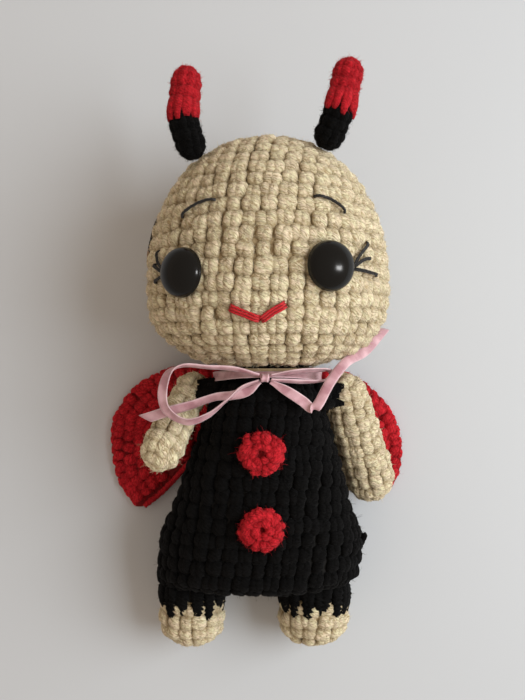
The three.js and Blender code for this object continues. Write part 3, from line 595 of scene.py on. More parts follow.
def add_strands(build, lines, outward, radius, tone=0.5, plies=PLIES, twist=PLY_TWIST,
                groove=PLY_GROOVE, lift=None, flatness=1.0):
    """Plied strands along lines (strands, steps, 3); outward is any direction off each line, and lift
    tells how far the lines lie above the cloth's surface, which sets their painted shade deep between
    stitches."""
    lines = np.asarray(lines, float)
    if lines.ndim == 2:
        lines = lines[None]
    strands, steps, _ = lines.shape
    around = 2 * plies
    tangent = unit(np.gradient(lines, axis=1))
    outward = np.broadcast_to(outward, lines.shape)
    side = unit(outward - (outward * tangent).sum(-1, keepdims=True) * tangent)
    other = np.cross(tangent, side)
    run = way_along(lines) + rng.uniform(0, abs(twist), (strands, 1))
    k = np.arange(around)
    angle = 2 * np.pi * (k / around + run[..., None] / twist)
    shape = np.where(k % 2, 1.0, groove)
    shape = shape * (1 + rng.normal(0, 0.05, (strands, steps, around)))
    radius = np.broadcast_to(radius, (strands, steps))[..., None] * shape
    ring = (flatness * side[:, :, None] * np.cos(angle)[..., None]
            + other[:, :, None] * np.sin(angle)[..., None])
    points = lines[:, :, None] + radius[..., None] * ring
    # How far each point lies out of the hollows, which sets its painted shade
    height = 1.0
    if lift is not None:
        rise = lift[:, :, None] + radius * (ring * outward[:, :, None]).sum(-1)
        height = (1 + rise / PAINTED_SHADE_DEPTH).clip(0, 1).ravel()
    start = build.add(points, np.repeat(np.broadcast_to(tone, strands), steps * around), height)
    build.roots.append(points[:, 1:-1].reshape(-1, 3))
    build.outward.append(ring[:, 1:-1].reshape(-1, 3))
    low = (np.arange(strands)[:, None] * steps + np.arange(steps - 1)) * around
    build.faces(start, ring_faces(low, around), ring_uvs(run, k / around, (k + 1) / around))
    first = np.arange(strands)[:, None] * steps * around + np.arange(around)[::-1]
    last = (np.arange(strands)[:, None] * steps + steps - 1) * around + np.arange(around)
    build.faces(start, np.concatenate([first, last]))


def add_fuzz(build, count, length=0.8, thickness=0.034):
    """Loose fibres that stand off the yarn: each is a thin bent needle."""
    roots, outward = np.concatenate(build.roots), np.concatenate(build.outward)
    chosen = rng.integers(0, len(roots), 3 * count)[:count]  # the spare draws are left unused
    root, out = roots[chosen], outward[chosen]
    long = length * rng.lognormal(0, 0.5, (count, 1)).clip(0.3, 3.5)
    way = unit(out + rng.normal(0, 0.8, (count, 3)))
    middle = root + way * long * 0.5
    tip = middle + unit(way + rng.normal(0, 0.7, (count, 3))) * long * 0.5
    side = unit(np.cross(way, rng.normal(0, 1, (count, 3))))
    other = np.cross(way, side)
    corners = []
    for place, share in ((root - 0.15 * way, 1.0), (middle, 0.8)):
        for angle in (0, 2 * math.pi / 3, 4 * math.pi / 3):
            corners.append(place + thickness * share * (side * math.cos(angle) + other * math.sin(angle)))
    points = np.stack([*corners, tip], axis=1)
    start = build.add(points, np.repeat(rng.uniform(0.5, 1, count), 7))
    base = np.arange(count)[:, None] * 7
    quads = [np.array([k, (k + 1) % 3, 3 + (k + 1) % 3, 3 + k]) for k in range(3)]
    tips = [np.array([3 + k, 3 + (k + 1) % 3, 6]) for k in range(3)] + [np.array([2, 1, 0])]
    build.faces(start, np.concatenate([base + quad for quad in quads]))
    build.faces(start, np.concatenate([base + tip for tip in tips]))


def smooth_line(points, steps):
    """A smooth curve through a few points, with even steps of its parameter."""
    points = np.asarray(points, float)
    count = len(points)
    at = np.linspace(0, count - 1, steps)
    padded = np.concatenate([[2 * points[0] - points[1]], points, [2 * points[-1] - points[-2]]])
    first = np.minimum(at.astype(int), count - 2)
    t = (at - first)[:, None]
    p0, p1, p2, p3 = (padded[first + k] for k in range(4))
    return 0.5 * (2 * p1 + (p2 - p0) * t + (2 * p0 - 5 * p1 + 4 * p2 - p3) * t ** 2
                  + (3 * p1 - p0 - 3 * p2 + p3) * t ** 3)


def even_line(points, steps):
    """The same curve with steps of even length."""
    line = smooth_line(points, 20 * steps)
    run = way_along(line)
    return rows_at(np.linspace(0, run[-1], steps), run, line)


def skin(build, grid, slot=0, uvs=None):
    """A closed surface over rings (rings, around, 3), with a cap at each end."""
    grid = np.asarray(grid, float)
    rings, around, _ = grid.shape
    ends = np.stack([grid[0].mean(0), grid[-1].mean(0)])
    start = build.add(np.concatenate([grid.reshape(-1, 3), ends]))
    build.faces(start, ring_faces(np.arange(rings - 1) * around, around), uvs, slot)
    k = np.arange(around)
    after = (k + 1) % around
    last = (rings - 1) * around
    for end, one, other in ((0, after, k), (1, last + k, last + after)):
        build.faces(start, np.stack([np.full(around, rings * around + end), one, other], -1), None, slot)


# Forms: each gives the place of a point that lies a share of a turn round it and a way along it

END_MARGIN = 0.4  # how far from its ends a form's surface is no longer followed
TURN_STEP, WAY_STEP = 0.002, 0.05


class Form:
    def __init__(self, length, place, low=END_MARGIN, high=None):
        self.length, self.place_of = length, place
        self.low, self.high = low, (length - END_MARGIN if high is None else high)

    def place(self, turn, along):
        return self.place_of(np.asarray(turn, float), np.clip(along, self.low, self.high))

    def normal(self, turn, along):
        turn, along = np.broadcast_arrays(np.asarray(turn, float), np.asarray(along, float))
        along = np.clip(along, self.low + WAY_STEP, self.high - WAY_STEP)
        across = self.place_of(turn + TURN_STEP, along) - self.place_of(turn - TURN_STEP, along)
        onward = self.place_of(turn, along + WAY_STEP) - self.place_of(turn, along - WAY_STEP)
        return unit(np.cross(across, onward))

    def girth(self, along):
        return way_along(self.place(np.linspace(0, 1, 73), np.full(73, along)))[-1]


def round_turn(turn, wide, deep):
    """The angle of a share of a turn round an oval, with even steps along its edge."""
    wide, deep = wide + 0.01, deep + 0.01  # so that an oval of no size has an angle too
    angle = 2 * np.pi * turn
    return angle - (wide ** 2 - deep ** 2) / (wide ** 2 + deep ** 2) / 4 * np.sin(2 * angle)


def oval_form(along, x, y, z, wide, deep, angle_of):
    """A form of oval rounds across the doll, given by their middles and half sizes."""
    def place(turn, way):
        at = [np.interp(way, along, each) for each in np.broadcast_arrays(x, y, z, wide, deep)]
        angle = angle_of(turn, *at[3:])
        return np.stack([at[0] + at[3] * np.sin(angle), at[1], at[2] + at[4] * np.cos(angle)], -1)

    return Form(along[-1], place)


def head_form():
    angle = np.radians(np.linspace(-90, 90, 181))
    power = np.where(angle > 0, 2 / FULLNESS_ABOVE, 2 / FULLNESS_BELOW)
    reach = np.where(angle > 0, HEAD_ABOVE, HEAD_BELOW)
    y = HEAD_WIDEST_Y + np.sign(angle) * reach * np.abs(np.sin(angle)) ** power
    half = HEAD_WIDTH / 2 * np.cos(angle).clip(0) ** power
    socket = NECK_RADIUS + GAP
    floor = NECK_Y + np.sqrt(np.maximum(socket ** 2 - half ** 2, 0))
    y = np.where((angle < 0) & (half < socket), np.maximum(y, floor), y)
    along = way_along(np.stack([y, half], -1))
    return oval_form(along, HEAD_X, y, HEAD_Z, half, half * HEAD_DEPTH / HEAD_WIDTH,
                     lambda turn, wide, deep: 2 * np.pi * turn + math.radians(HEAD_TURN))


def head_round(y):
    """Middle and half sizes of the head's oval round at a height."""
    above = y > HEAD_WIDEST_Y
    reach = HEAD_ABOVE if above else HEAD_BELOW
    fullness = FULLNESS_ABOVE if above else FULLNESS_BELOW
    share = min(abs(y - HEAD_WIDEST_Y) / reach, 1)
    half = HEAD_WIDTH / 2 * (1 - share ** fullness) ** (1 / fullness)
    return HEAD_X, HEAD_Z, half, half * HEAD_DEPTH / HEAD_WIDTH


def surface(oval_at, azimuth, y):
    """The point at an angle round from the front and a height, and the way out of the surface. oval_at
    gives the round at a height."""
    def place(angle, height):
        x, z, wide, deep = oval_at(height)
        return np.array([x + wide * math.sin(angle), height, z + deep * math.cos(angle)])

    angle, step = math.radians(azimuth), 0.01
    across = place(angle + step, y) - place(angle - step, y)
    upward = place(angle, y + step) - place(angle, y - step)
    return place(angle, y), unit(np.cross(across, upward))


def on_face(azimuth, y, lift=0.0):
    """A point on the face, whose heights lean with the head's roll."""
    sideways = HEAD_WIDTH / 2 * math.sin(math.radians(azimuth))
    height = y + sideways * math.tan(math.radians(HEAD_ROLL))
    point, normal = surface(head_round, azimuth + HEAD_TURN, height)
    return point + lift * normal, normal


def body_round(y):
    """Middle and half sizes of the body's oval round at a height."""
    share = np.clip((SHOULDER_Y - y) / (SHOULDER_Y - HIP_Y), 0, 1)
    spread = (share + np.sin(share * np.pi / 2)) / 2
    wide = (SHOULDER_WIDTH + (HIP_WIDTH - SHOULDER_WIDTH) * spread) / 2
    deep = (SHOULDER_DEPTH + (HIP_DEPTH - SHOULDER_DEPTH) * spread) / 2
    rise = np.clip((y - SHOULDER_Y) / SHOULDER_RISE, 0, 1)
    kept = np.sqrt(1 - rise ** 2)
    wide = NECK_RADIUS + (wide - NECK_RADIUS) * kept
    deep = NECK_RADIUS + (deep - NECK_RADIUS) * kept
    drop = np.clip((HIP_Y - y) / CROTCH_DROP, 0, 1)
    kept = (1 - drop ** BODY_FULLNESS) ** (1 / BODY_FULLNESS)
    slope = (NECK_Y - y) / (NECK_Y - HIP_Y)
    sway = np.clip((SWAY_Y - y) / (SWAY_Y - HIP_Y + CROTCH_DROP), 0, 1)
    x = HEAD_X + HIP_SHIFT * slope + SWAY_SHARE * LEG_SHIFT * sway
    wide = wide + HIP_BULGE * np.exp(-((y - BULGE_Y) / BULGE_LENGTH) ** 2)
    z = HEAD_Z + (HIP_DEPTH / 2 - REST_FLAT - HEAD_Z) * np.minimum(slope, 1)
    return x, z, wide * kept, deep * kept


def body_form():
    """From the crotch up over the hips and shoulders to the round neck."""
    bottom = HIP_Y - CROTCH_DROP * np.cos(np.radians(np.linspace(0, 90, 30))) ** 0.8
    sides = np.linspace(HIP_Y, SHOULDER_Y, 60)
    over = SHOULDER_Y + SHOULDER_RISE * np.sin(np.radians(np.linspace(3, 90, 25)))
    ball = NECK_Y + NECK_RADIUS * np.sin(np.radians(np.linspace(0, 60, 20)))
    y = np.concatenate([bottom, sides[1:], over, ball])
    x, z, wide, deep = body_round(y)
    on_ball = y > SHOULDER_Y + SHOULDER_RISE
    neck = np.sqrt(np.maximum(NECK_RADIUS ** 2 - (y - NECK_Y) ** 2, 0))
    wide, deep = np.where(on_ball, neck, wide), np.where(on_ball, neck, deep)
    z = np.where(on_ball, HEAD_Z, z)
    along = way_along(np.stack([y, (wide + deep) / 2], -1))
    return oval_form(along, x, y, z, wide, deep, round_turn)


def leg_form(side):
    """From the middle of the sole to inside the body."""
    hip_z = body_round(HIP_Y)[1]
    x = HEAD_X + HIP_SHIFT + LEG_SHIFT + side * LEG_SPACING / 2
    width = LEG_WIDTHS[side]
    angle = np.radians(np.linspace(0, 90, 40))
    y = np.concatenate([FOOT_END_Y + width * SOLE_LENGTH * (1 - np.cos(angle)), [LEG_TOP_Y]])
    kept = np.concatenate([np.sin(angle) ** (2 / FOOT_FULLNESS), [LEG_TOP_SIZE]])
    wide, deep = kept * width / 2, kept * LEG_DEPTH / 2
    z = hip_z + (FOOT_Z - hip_z) * (LEG_TOP_Y - y) / (LEG_TOP_Y - FOOT_END_Y)
    along = way_along(np.stack([y, (wide + deep) / 2], -1))
    form = oval_form(along, x, y, z, wide, deep, lambda turn, wide, deep: 2 * np.pi * turn)
    form.ankle = float(np.interp(ANKLE_Y, y, along))
    return form


def tube_form(points, start_radius, end_radius):
    """A tube with round ends along a curve, whose turns are counted from the top."""
    line = even_line(points, 40)
    run = np.linspace(0, way_along(line)[-1], len(line))
    tangent = unit(np.gradient(line, axis=0))
    top = unit(UP - (tangent @ UP)[:, None] * tangent)
    side = np.cross(tangent, top)
    angle = np.radians(np.linspace(0, 90, 20))
    at = np.concatenate([start_radius * (1 - np.cos(angle)),
                         run[-1] - end_radius * (1 - np.cos(angle[::-1]))])
    radius = np.concatenate([start_radius * np.sin(angle), end_radius * np.sin(angle[::-1])])
    along = way_along(np.stack([at, radius], -1))

    def place(turn, way):
        where, r = np.interp(way, along, at), np.interp(way, along, radius)[..., None]
        angle = (2 * np.pi * turn)[..., None]
        middle, aside, up = (rows_at(where, run, table) for table in (line, side, top))
        return middle + r * (aside * np.sin(angle) + up * np.cos(angle))

    return Form(along[-1], place)


# Stitches. A stitch is two short legs side by side and a loop across their top. The lines are in
# shares of the legs' spread, of the stitch's height, and in millimetres off the cloth's surface.

LEG = [(0.3, -0.12, -1.1), (0.72, 0.08, -0.5), (0.98, 0.32, 0.05),
       (1.05, 0.60, 0.15), (1.02, 0.86, -0.2), (0.75, 1.06, -1.0)]
LOOP = [(-0.5, 0.92, -1.15), (-0.25, 0.97, -0.9), (0.0, 0.99, -0.8), (0.25, 1.0, -0.9), (0.5, 1.0, -1.15)]
# The yarn's radius along each, as a share of its own
LEG_SHAPE = (0.6, 0.8, 0.95, 1.02, 1.05, 1.03, 0.96, 0.82, 0.6)
LOOP_SHAPE = (0.5, 0.65, 0.7, 0.7, 0.65, 0.5)
LEG_SPREAD = 0.14
STITCH_TILT = 0.04
LEG_STEP = 0.08  # how much the right leg is raised, and the left one sunk
DRAWN_RISE = 0.9  # how far an end that is drawn down rises over the round below
# How one stitch differs from the next, as standard deviations in the units of what they change
UNEVEN = {"aside": 0.05, "up": 0.055, "lift": 0.13, "radius": 0.07, "tilt": 0.10, "spread": 0.35,
          "strand_aside": 0.02, "strand_up": 0.05}


def plan_rounds(form, start, end, width=STITCH_WIDTH, height=ROUND_HEIGHT, most=None, least=5):
    """Rounds from start to end along a form, each with its way along, height and stitch count."""
    count = max(1, round((end - start) / height))
    step = (end - start) / count
    made = []
    for i in range(count):
        way = start + i * step
        stitches = max(least, round(form.girth(way + step / 2) / width))
        made.append((way, step, min(stitches, most) if most else stitches, i))
    return made


def add_stitches(build, form, rounds, radius=YARN_RADIUS, keep=None, rough=1.0, phase=0.0,
                 reach=0.0, sink=0.0, relief=1.0):
    """Covers rounds of a form with stitches. keep drops the stitches whose middle it refuses, rough
    scales their unevenness, reach draws their lower ends down over the round below, sink sets them
    deeper, and a small relief makes them flat."""
    placed = []
    for start, step, stitches, i in rounds:
        turn = (np.arange(stitches) + 0.5 + LEAN * i + phase) / stitches
        placed.append(np.stack(np.broadcast_arrays(turn, start, 1 / stitches, step)))
    turn, way, wide, tall = np.concatenate(placed, axis=1)
    if keep is not None:
        kept = keep(form.place(turn, way + tall / 2))
        turn, way, wide, tall = turn[kept], way[kept], wide[kept], tall[kept]
    count = len(turn)

    def uneven(name, middle=0.0):
        return rng.normal(middle, UNEVEN[name] * rough, (count, 1))

    turn = turn + uneven("aside")[:, 0] * wide
    way = way + uneven("up")[:, 0] * tall
    tone = rng.uniform(0, 1, count)
    swell = uneven("lift")
    thick = radius * uneven("radius", 1)
    drawn = reach * rng.uniform(0.5, 1.0, count)[:, None]
    tilt = uneven("tilt", STITCH_TILT)
    spread = LEG_SPREAD * uneven("spread", 1).clip(0.3, 2)
    for part in (-1, 1, 0):
        places, sizes = (LEG, LEG_SHAPE) if part else (LOOP, LOOP_SHAPE)
        line = smooth_line(places, len(sizes))
        low = (1 - line[:, 1]).clip(0) ** 2
        across = line[:, 0] * (part * spread if part else 1)
        across = across + uneven("strand_aside") + tilt * (line[:, 1] - 0.5)
        up = line[:, 1] + uneven("strand_up") * abs(part) - drawn * low
        a = turn[:, None] + across * wide[:, None]
        b = way[:, None] + up * tall[:, None]
        out = relief * (line[:, 2] + swell) - YARN_FLATNESS * radius - sink
        out = out + LEG_STEP * part + DRAWN_RISE * drawn * low
        normal = form.normal(a, b)
        points = form.place(a, b) + normal * out[..., None]
        add_strands(build, points, normal, thick * sizes, tone, lift=out, flatness=YARN_FLATNESS)


def add_inside(build, form, slot, inset=1.35, turns=48, steps=40, start=None, end=None):
    """A closed surface just under the stitches, for the inside painted dark as shade."""
    low = form.low if start is None else start
    high = form.high if end is None else end
    way = low + (high - low) * (1 - np.cos(np.linspace(0, np.pi, steps))) / 2
    grid_turn, grid_way = np.meshgrid(np.arange(turns) / turns, way)
    skin(build, form.place(grid_turn, grid_way) - inset * form.normal(grid_turn, grid_way), slot)


# Camera, light and floor

def camera():
    data = bpy.data.cameras.new("camera")
    data.lens = FOCAL_PIXELS * SENSOR / PHOTO_HEIGHT
    data.sensor_width = SENSOR
    data.clip_start = 0.01
    made = shown("camera", data)
    made.location = metres([0, 0, CAMERA_HEIGHT])
    bpy.context.scene.camera = made


def floor():
    """A plain cloth, in metres."""
    half = 0.9
    mesh = bpy.data.meshes.new("floor")
    corners = [(-half, -half, 0), (half, -half, 0), (half, half, 0), (-half, half, 0)]
    mesh.from_pydata(corners, [], [range(4)])
    mesh.materials.append(grained("floor_cloth", (0.565, 0.58, 0.608), (0.62, 0.635, 0.662), (9.0,), 0.9))
    made = shown("floor", mesh)


def lamp(name, place, width, height, power, colour, shows_in):
    data = bpy.data.lights.new(name, "AREA")
    data.shape = "RECTANGLE"
    data.size, data.size_y = width * MM, height * MM
    data.energy = power
    data.color = colour
    made = shown(name, data)
    made.location = Vector(place) * MM
    made.rotation_euler = (-made.location).to_track_quat("-Z", "Y").to_euler()
    made.visible_diffuse = shows_in == "diffuse"
    made.visible_glossy = shows_in == "glossy"


def light():
    """A wide window that lights the yarn, a small one that shines in the eyes, and the room."""
    lamp("window", (450, 50, 440), width=440, height=480, power=4.1, colour=(0.90, 0.97, 1.0),
         shows_in="diffuse")
    lamp("glint", (520, 20, 400), width=110, height=180, power=2.6, colour=(1.0, 1.0, 1.0),
         shows_in="glossy")
    world = bpy.data.worlds.new("world")
    world.use_nodes = True
    tree = world.node_tree
    chosen = tree.nodes.new("ShaderNodeMixShader")
    tree.links.new(tree.nodes.new("ShaderNodeLightPath").outputs["Is Camera Ray"], chosen.inputs[0])
    lighting, seen = tree.nodes["Background"], tree.nodes.new("ShaderNodeBackground")
    for slot, node, colour, strength in ((1, lighting, ROOM_LIGHT, 0.5), (2, seen, BACKDROP, 1.0)):
        node.inputs["Color"].default_value = (*colour, 1)
        node.inputs["Strength"].default_value = strength
        tree.links.new(node.outputs[0], chosen.inputs[slot])
    tree.links.new(chosen.outputs[0], tree.nodes["World Output"].inputs["Surface"])
    bpy.context.scene.world = world
    bpy.context.scene.view_settings.view_transform = "Standard"


# Head and face

def head():
    form = head_form()
    rounds = plan_rounds(form, 6.0, form.length - 1.5, most=HEAD_STITCHES)
    half = len(rounds) // 2
    halves = (("head_lower", rounds[:half], ["head_cover"]), ("head_upper", rounds[half:], []))
    for name, chosen, replaced in halves:
        build = Build()
        add_stitches(build, form, chosen, phase=0.2)
        add_fuzz(build, FUZZ["head"])
        if replaced:
            add_inside(build, form, 1)
        piece(build, name, "head", "cream_yarn", *replaced, fill=0.85)


def lathe(build, profile, point, normal, around=64):
    """A turned form on a point; the profile runs as (radius, height) from its foot to its top."""
    side = unit(np.cross(normal, [0.31, 0.9, 0.3]))
    other = np.cross(normal, side)
    angle = 2 * np.pi * np.arange(around) / around
    spoke = side * np.cos(angle)[:, None] + other * np.sin(angle)[:, None]
    skin(build, [point + height * normal + r * spoke for r, height in profile])


def eyes():
    """A dome with a thin rim, on a shank that goes into the head."""
    steps = 18
    for name, side in SIDES.items():
        point, normal = on_face(side * EYE_SPREAD, EYE_Y, GAP)
        shank, half = SHANK_DIAMETER / 2, EYE_DIAMETER / 2
        profile = [(shank, -SHANK_LENGTH), (shank, 0), (half - 0.25, 0), (half, 0.2), (half, EYE_RIM - 0.15)]
        for i in range(steps):
            angle = math.pi / 2 * i / steps
            height = EYE_RIM + (EYE_HEIGHT - EYE_RIM) * math.sin(angle)
            profile.append(((half - 0.08) * math.cos(angle), height))
        build = Build()
        lathe(build, profile, point, normal)
        piece(build, f"eye_{name}_dome", "head", "eye_plastic", f"eye_{name}")


def face_strand(build, places, radius, lift, aside=0.0):
    """A thread over the face, whose ends go down between the stitches."""
    steps = 16
    places = smooth_line(places, steps)
    points, normals = [], []
    for i, (azimuth, y) in enumerate(places):
        end = min(i, steps - 1 - i)
        depth = lift - (1.0, 0.25)[end] if end < 2 else lift
        point, normal = on_face(azimuth, y, depth)
        points.append(point)
        normals.append(normal)
    points, normals = np.array(points), np.array(normals)
    points += aside * unit(np.cross(normals, np.gradient(points, axis=0)))
    add_strands(build, points, normals, radius, rng.uniform(), **THREAD)


def face_threads():
    for name in SIDES:
        build = Build()
        face_strand(build, BROWS[name], BROW_RADIUS, 0.85)
        piece(build, f"brow_{name}_thread", "head", "black_thread", f"brow_{name}")
        for i, places in enumerate(LASHES[name], 1):
            build = Build()
            face_strand(build, places, LASH_RADIUS, 0.8, 0.2)
            face_strand(build, places, LASH_RADIUS, 0.75, -0.2)
            piece(build, f"lash_{name}_{i}_thread", "head", "black_thread", f"lash_{name}_{i}")
        build = Build()
        for aside in LIP_STRANDS:
            face_strand(build, LIPS[name], LIP_RADIUS, 1.0 + rng.uniform(-0.1, 0.1), aside)
        piece(build, f"mouth_{name}_thread", "head", "red_thread", f"mouth_{name}")


# Body, legs and feet

def body():
    form = body_form()
    rounds = plan_rounds(form, 3.0, form.length - 3.0, least=8)
    half = len(rounds) // 2
    lower, upper = Build(), Build()
    add_stitches(lower, form, rounds[:half], relief=BODY_RELIEF)
    add_inside(lower, form, 1)
    for side in SIDES.values():
        leg = leg_form(side)
        leg_rounds = plan_rounds(leg, leg.ankle, leg.length - 1.0)
        add_stitches(lower, leg, leg_rounds[:1], reach=0.9, relief=BODY_RELIEF)
        add_stitches(lower, leg, leg_rounds[1:], relief=BODY_RELIEF)
        add_inside(lower, leg, 1, start=leg.ankle)
    add_fuzz(lower, FUZZ["body_lower"])
    piece(lower, "body_lower", "torso", "black_yarn", "body_cover", fill=0.85)
    add_stitches(upper, form, rounds[half:], relief=BODY_RELIEF)
    add_fuzz(upper, FUZZ["body_upper"])
    piece(upper, "body_upper", "torso", "black_yarn", fill=0.85)


def feet():
    for name, side in SIDES.items():
        leg = leg_form(side)
        build = Build()
        rounds = plan_rounds(leg, 0.5, leg.ankle)
        add_stitches(build, leg, rounds[:-1])
        add_stitches(build, leg, rounds[-1:], sink=0.5)
        add_fuzz(build, FUZZ["foot"])
        add_inside(build, leg, 1, end=leg.ankle)
        piece(build, f"foot_{name}", "torso", "cream_yarn", f"foot_cover_{name}", fill=0.85)


def button_form(y, aside):
    """A domed disc that lies on the body, from its middle to its turned-down edge."""
    half = BUTTON_DIAMETER / 2 - 0.5
    turned = np.linspace(0, 1.9, 60)
    reach = half * np.sin(turned)
    rise = 0.9 + BUTTON_RISE * np.cos(turned) - 1.2 * np.exp(-(reach / 1.3) ** 2) * (turned < 1)
    along = way_along(np.stack([rise, reach], -1))
    middle_x = body_round(y)[0] + aside

    def place(turn, way):
        r, height = np.interp(way, along, reach), np.interp(way, along, rise)
        angle = 2 * np.pi * turn
        dx, at = r * np.sin(angle), y + r * np.cos(angle)
        x, z, wide, deep = body_round(at)
        tilt = np.clip((middle_x + dx - x) / wide, -0.9, 0.9)
        out = np.stack([tilt, np.full_like(tilt, -0.11), np.sqrt(1 - tilt ** 2)], -1)
        base = np.stack([middle_x + dx, at, z + deep * np.sqrt(1 - tilt ** 2)], -1)
        return base + height[..., None] * unit(out)

    return Form(along[-1], place, low=0.5)


def buttons():
    for name, (y, aside) in BUTTONS.items():
        form = button_form(y, aside)
        build = Build()
        add_stitches(build, form, BUTTON_ROUNDS, radius=1.05, rough=1.4, sink=0.1)
        add_fuzz(build, FUZZ["button"], length=1.1)
        add_inside(build, form, 1, inset=1.3, turns=24, steps=16)
        piece(build, f"button_{name}_crochet", "torso", "red_yarn", f"button_{name}", fill=0.6)


# Arms

def arm_points(name):
    arm = ARMS[name]
    point, normal = surface(body_round, SIDES[name] * arm["azimuth"], arm["y"])
    centre = point + normal * (arm["thick"] / 2 + ARM_SEAM_THREAD + 2 * GAP)
    swing = unit(arm["swing"])
    start = centre - swing * arm["thick"] / 2
    return [start + swing * arm["length"], start]


def arms():
    for name, arm in ARMS.items():
        hand_puff, shoulder_puff = arm["puff"]
        form = tube_form(arm_points(name), arm["hand"] / 2 + hand_puff, arm["thick"] / 2 + shoulder_puff)
        build = Build()
        rounds = plan_rounds(form, 0.6, form.length - 1.0, width=3.9, height=3.7, least=7)
        add_stitches(build, form, rounds, phase=0.5, radius=1.5)
        add_fuzz(build, FUZZ["arm"])
        add_inside(build, form, 1, turns=24)
        piece(build, f"arm_{name}_crochet", f"arm_{name}", "cream_yarn", f"arm_cover_{name}", fill=0.8)
        arm_sewing(name)


def arm_sewing(name):
    """Pointed stitches of the body's yarn that reach over the top of an arm."""
    arm, side = ARMS[name], SIDES[name]
    far, start = arm_points(name)
    along = unit(far - start)
    seat = start + along * arm["thick"] / 2
    radius = arm["thick"] / 2 + arm["puff"][1]
    lines = []
    for i in range(SEWING_STITCHES):
        height = arm["y"] + SEWING_TOP - SEWING_STEP * i
        root, normal = surface(body_round, side * SEWING_AZIMUTH, height)
        reach = 0.2 * math.sin(2.4 * i + 1) - 0.85  # a little shorter or longer by turns
        onto = unit(UP + along * (0.34 * i - 0.6) + (reach * side, 0, 0))
        tip = seat + onto * (radius + 0.2)
        end = seat + unit(onto + (0.45 * side, 0, 0)) * (radius - 0.4)
        top = (root + tip) / 2 + 0.3 * unit(normal + UP)
        lines.append(smooth_line([root, top, tip, end], 12))
    lines = np.array(lines)
    build = Build()
    taper = np.interp(np.linspace(0, 1, 12), [0.7, 1], [SEWING_RADIUS, SEWING_POINT])
    add_strands(build, lines, UP, taper)
    add_fuzz(build, FUZZ["sewing"])
    made = build.object(f"arm_sewing_{name}", [BLACK])
    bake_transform(made)


# Antennae

def antenna_points(name):
    antenna = ANTENNAE[name]
    point, normal = surface(head_round, antenna["azimuth"], antenna["y"])
    radius = ANTENNA_THICKNESS / 2
    centre = point + normal * (radius + GAP)
    rising = unit([antenna["lean"], 1, 0])
    leaving = unit(normal + rising)
    third = (ANTENNA_LENGTH - radius) / 3
    bend = centre + leaving * third
    return [centre - leaving * radius, centre, bend, bend + rising * third, bend + 2 * rising * third]


def antennae():
    for name in ANTENNAE:
        radius = ANTENNA_THICKNESS / 2
        form = tube_form(antenna_points(name), radius, radius)
        change = form.length - ANTENNA_TIP - 0.57 * radius
        stem, tip = Build(), Build()
        rounds = plan_rounds(form, 0.6, change, **ANTENNA_GAUGE)
        add_stitches(stem, form, rounds[:-1], sink=0.3, **ANTENNA_YARN)
        add_stitches(stem, form, rounds[-1:], sink=0.5, **ANTENNA_YARN)
        add_fuzz(stem, FUZZ["antenna"], length=0.6)
        add_inside(stem, form, 1, turns=24, end=change)
        rounds = plan_rounds(form, change, form.length - 0.5, **ANTENNA_GAUGE)
        add_stitches(tip, form, rounds[:1], sink=0.25, reach=1.0, **ANTENNA_YARN)
        add_stitches(tip, form, rounds[1:], sink=0.3, **ANTENNA_YARN)
        add_fuzz(tip, FUZZ["antenna"], length=0.6)
        add_inside(tip, form, 1, turns=24, start=change)
        body_name = f"antenna_{name}"
        piece(stem, f"antenna_{name}_stem", body_name, "black_yarn", f"antenna_stem_{name}", fill=0.7)
        piece(tip, f"antenna_{name}_tip", body_name, "red_yarn", f"antenna_tip_{name}", fill=0.7)


# Wings

def wing_seam(side):
    """Top and bottom of the seam along the back of the body, half a wing's thickness below it."""
    def back(share):
        y = WING_SEAM_TOP_Y - WING_SEAM_LENGTH * share
        x, z, wide, deep = body_round(y)
        return np.array([x + side * WING_SEAM_X, y, z - deep * math.sqrt(1 - (WING_SEAM_X / wide) ** 2)])
    top, bottom = back(0), back(1)
    swell = max((top + (bottom - top) * t - back(t))[2] for t in (0.25, 0.5, 0.75))
    drop = np.array([0, 0, WING_THICKNESS / 2 + GAP + max(swell, 0)])
    return top - drop, bottom - drop


def wing_lie(side, x, y):
    """Height of the wing's middle surface, which falls from the seam to the floor."""
    top, bottom = wing_seam(side)
    share = np.clip((top[1] - y) / (top[1] - bottom[1]), 0, 1)
    seam_z = top[2] + (bottom[2] - top[2]) * share
    seam_x = top[0] + (bottom[0] - top[0]) * share
    away = np.hypot(np.maximum(side * (x - seam_x), 0), np.maximum(bottom[1] - y, 0))
    fall = np.clip(away / WING_FALL, 0, 1)
    fall = fall * fall * (3 - 2 * fall)
    return seam_z + (WING_THICKNESS / 2 + WING_CLEARANCE - seam_z) * fall


def wing_edges(name):
    """The wing's outer and inner edges, in such an order that the wing lies left of the outer one."""
    side = SIDES[name]
    top, bottom = wing_seam(side)
    outer = even_line(WINGS[name]["outer"], 120)
    inner = even_line([top[:2], bottom[:2], *WINGS[name]["inner"]], 120)
    return (outer, inner) if side < 0 else (outer[::-1], inner[::-1])


def wing_form(name):
    """Turns run along the outer edge, and the way from the back, over that edge, to the front."""
    side = SIDES[name]
    outer, _ = wing_edges(name)
    onward = unit(np.gradient(outer, axis=0))
    inward = np.stack([-onward[:, 1], onward[:, 0]], -1)
    half = WING_THICKNESS / 2
    quarter = half * math.pi / 2
    at = np.linspace(0, 1, len(outer))
    reach = 26.0

    def place(turn, way):
        q = way - reach
        angle = np.clip(q / half, -math.pi / 2, math.pi / 2)
        depth = half * (1 - np.cos(angle)) + np.maximum(np.abs(q) - quarter, 0)
        x = np.interp(turn, at, outer[:, 0]) + depth * np.interp(turn, at, inward[:, 0])
        y = np.interp(turn, at, outer[:, 1]) + depth * np.interp(turn, at, inward[:, 1])
        return np.stack([x, y, wing_lie(side, x, y) + half * np.sin(angle)], -1)

    return Form(2 * reach, place, low=0.0, high=2 * reach)


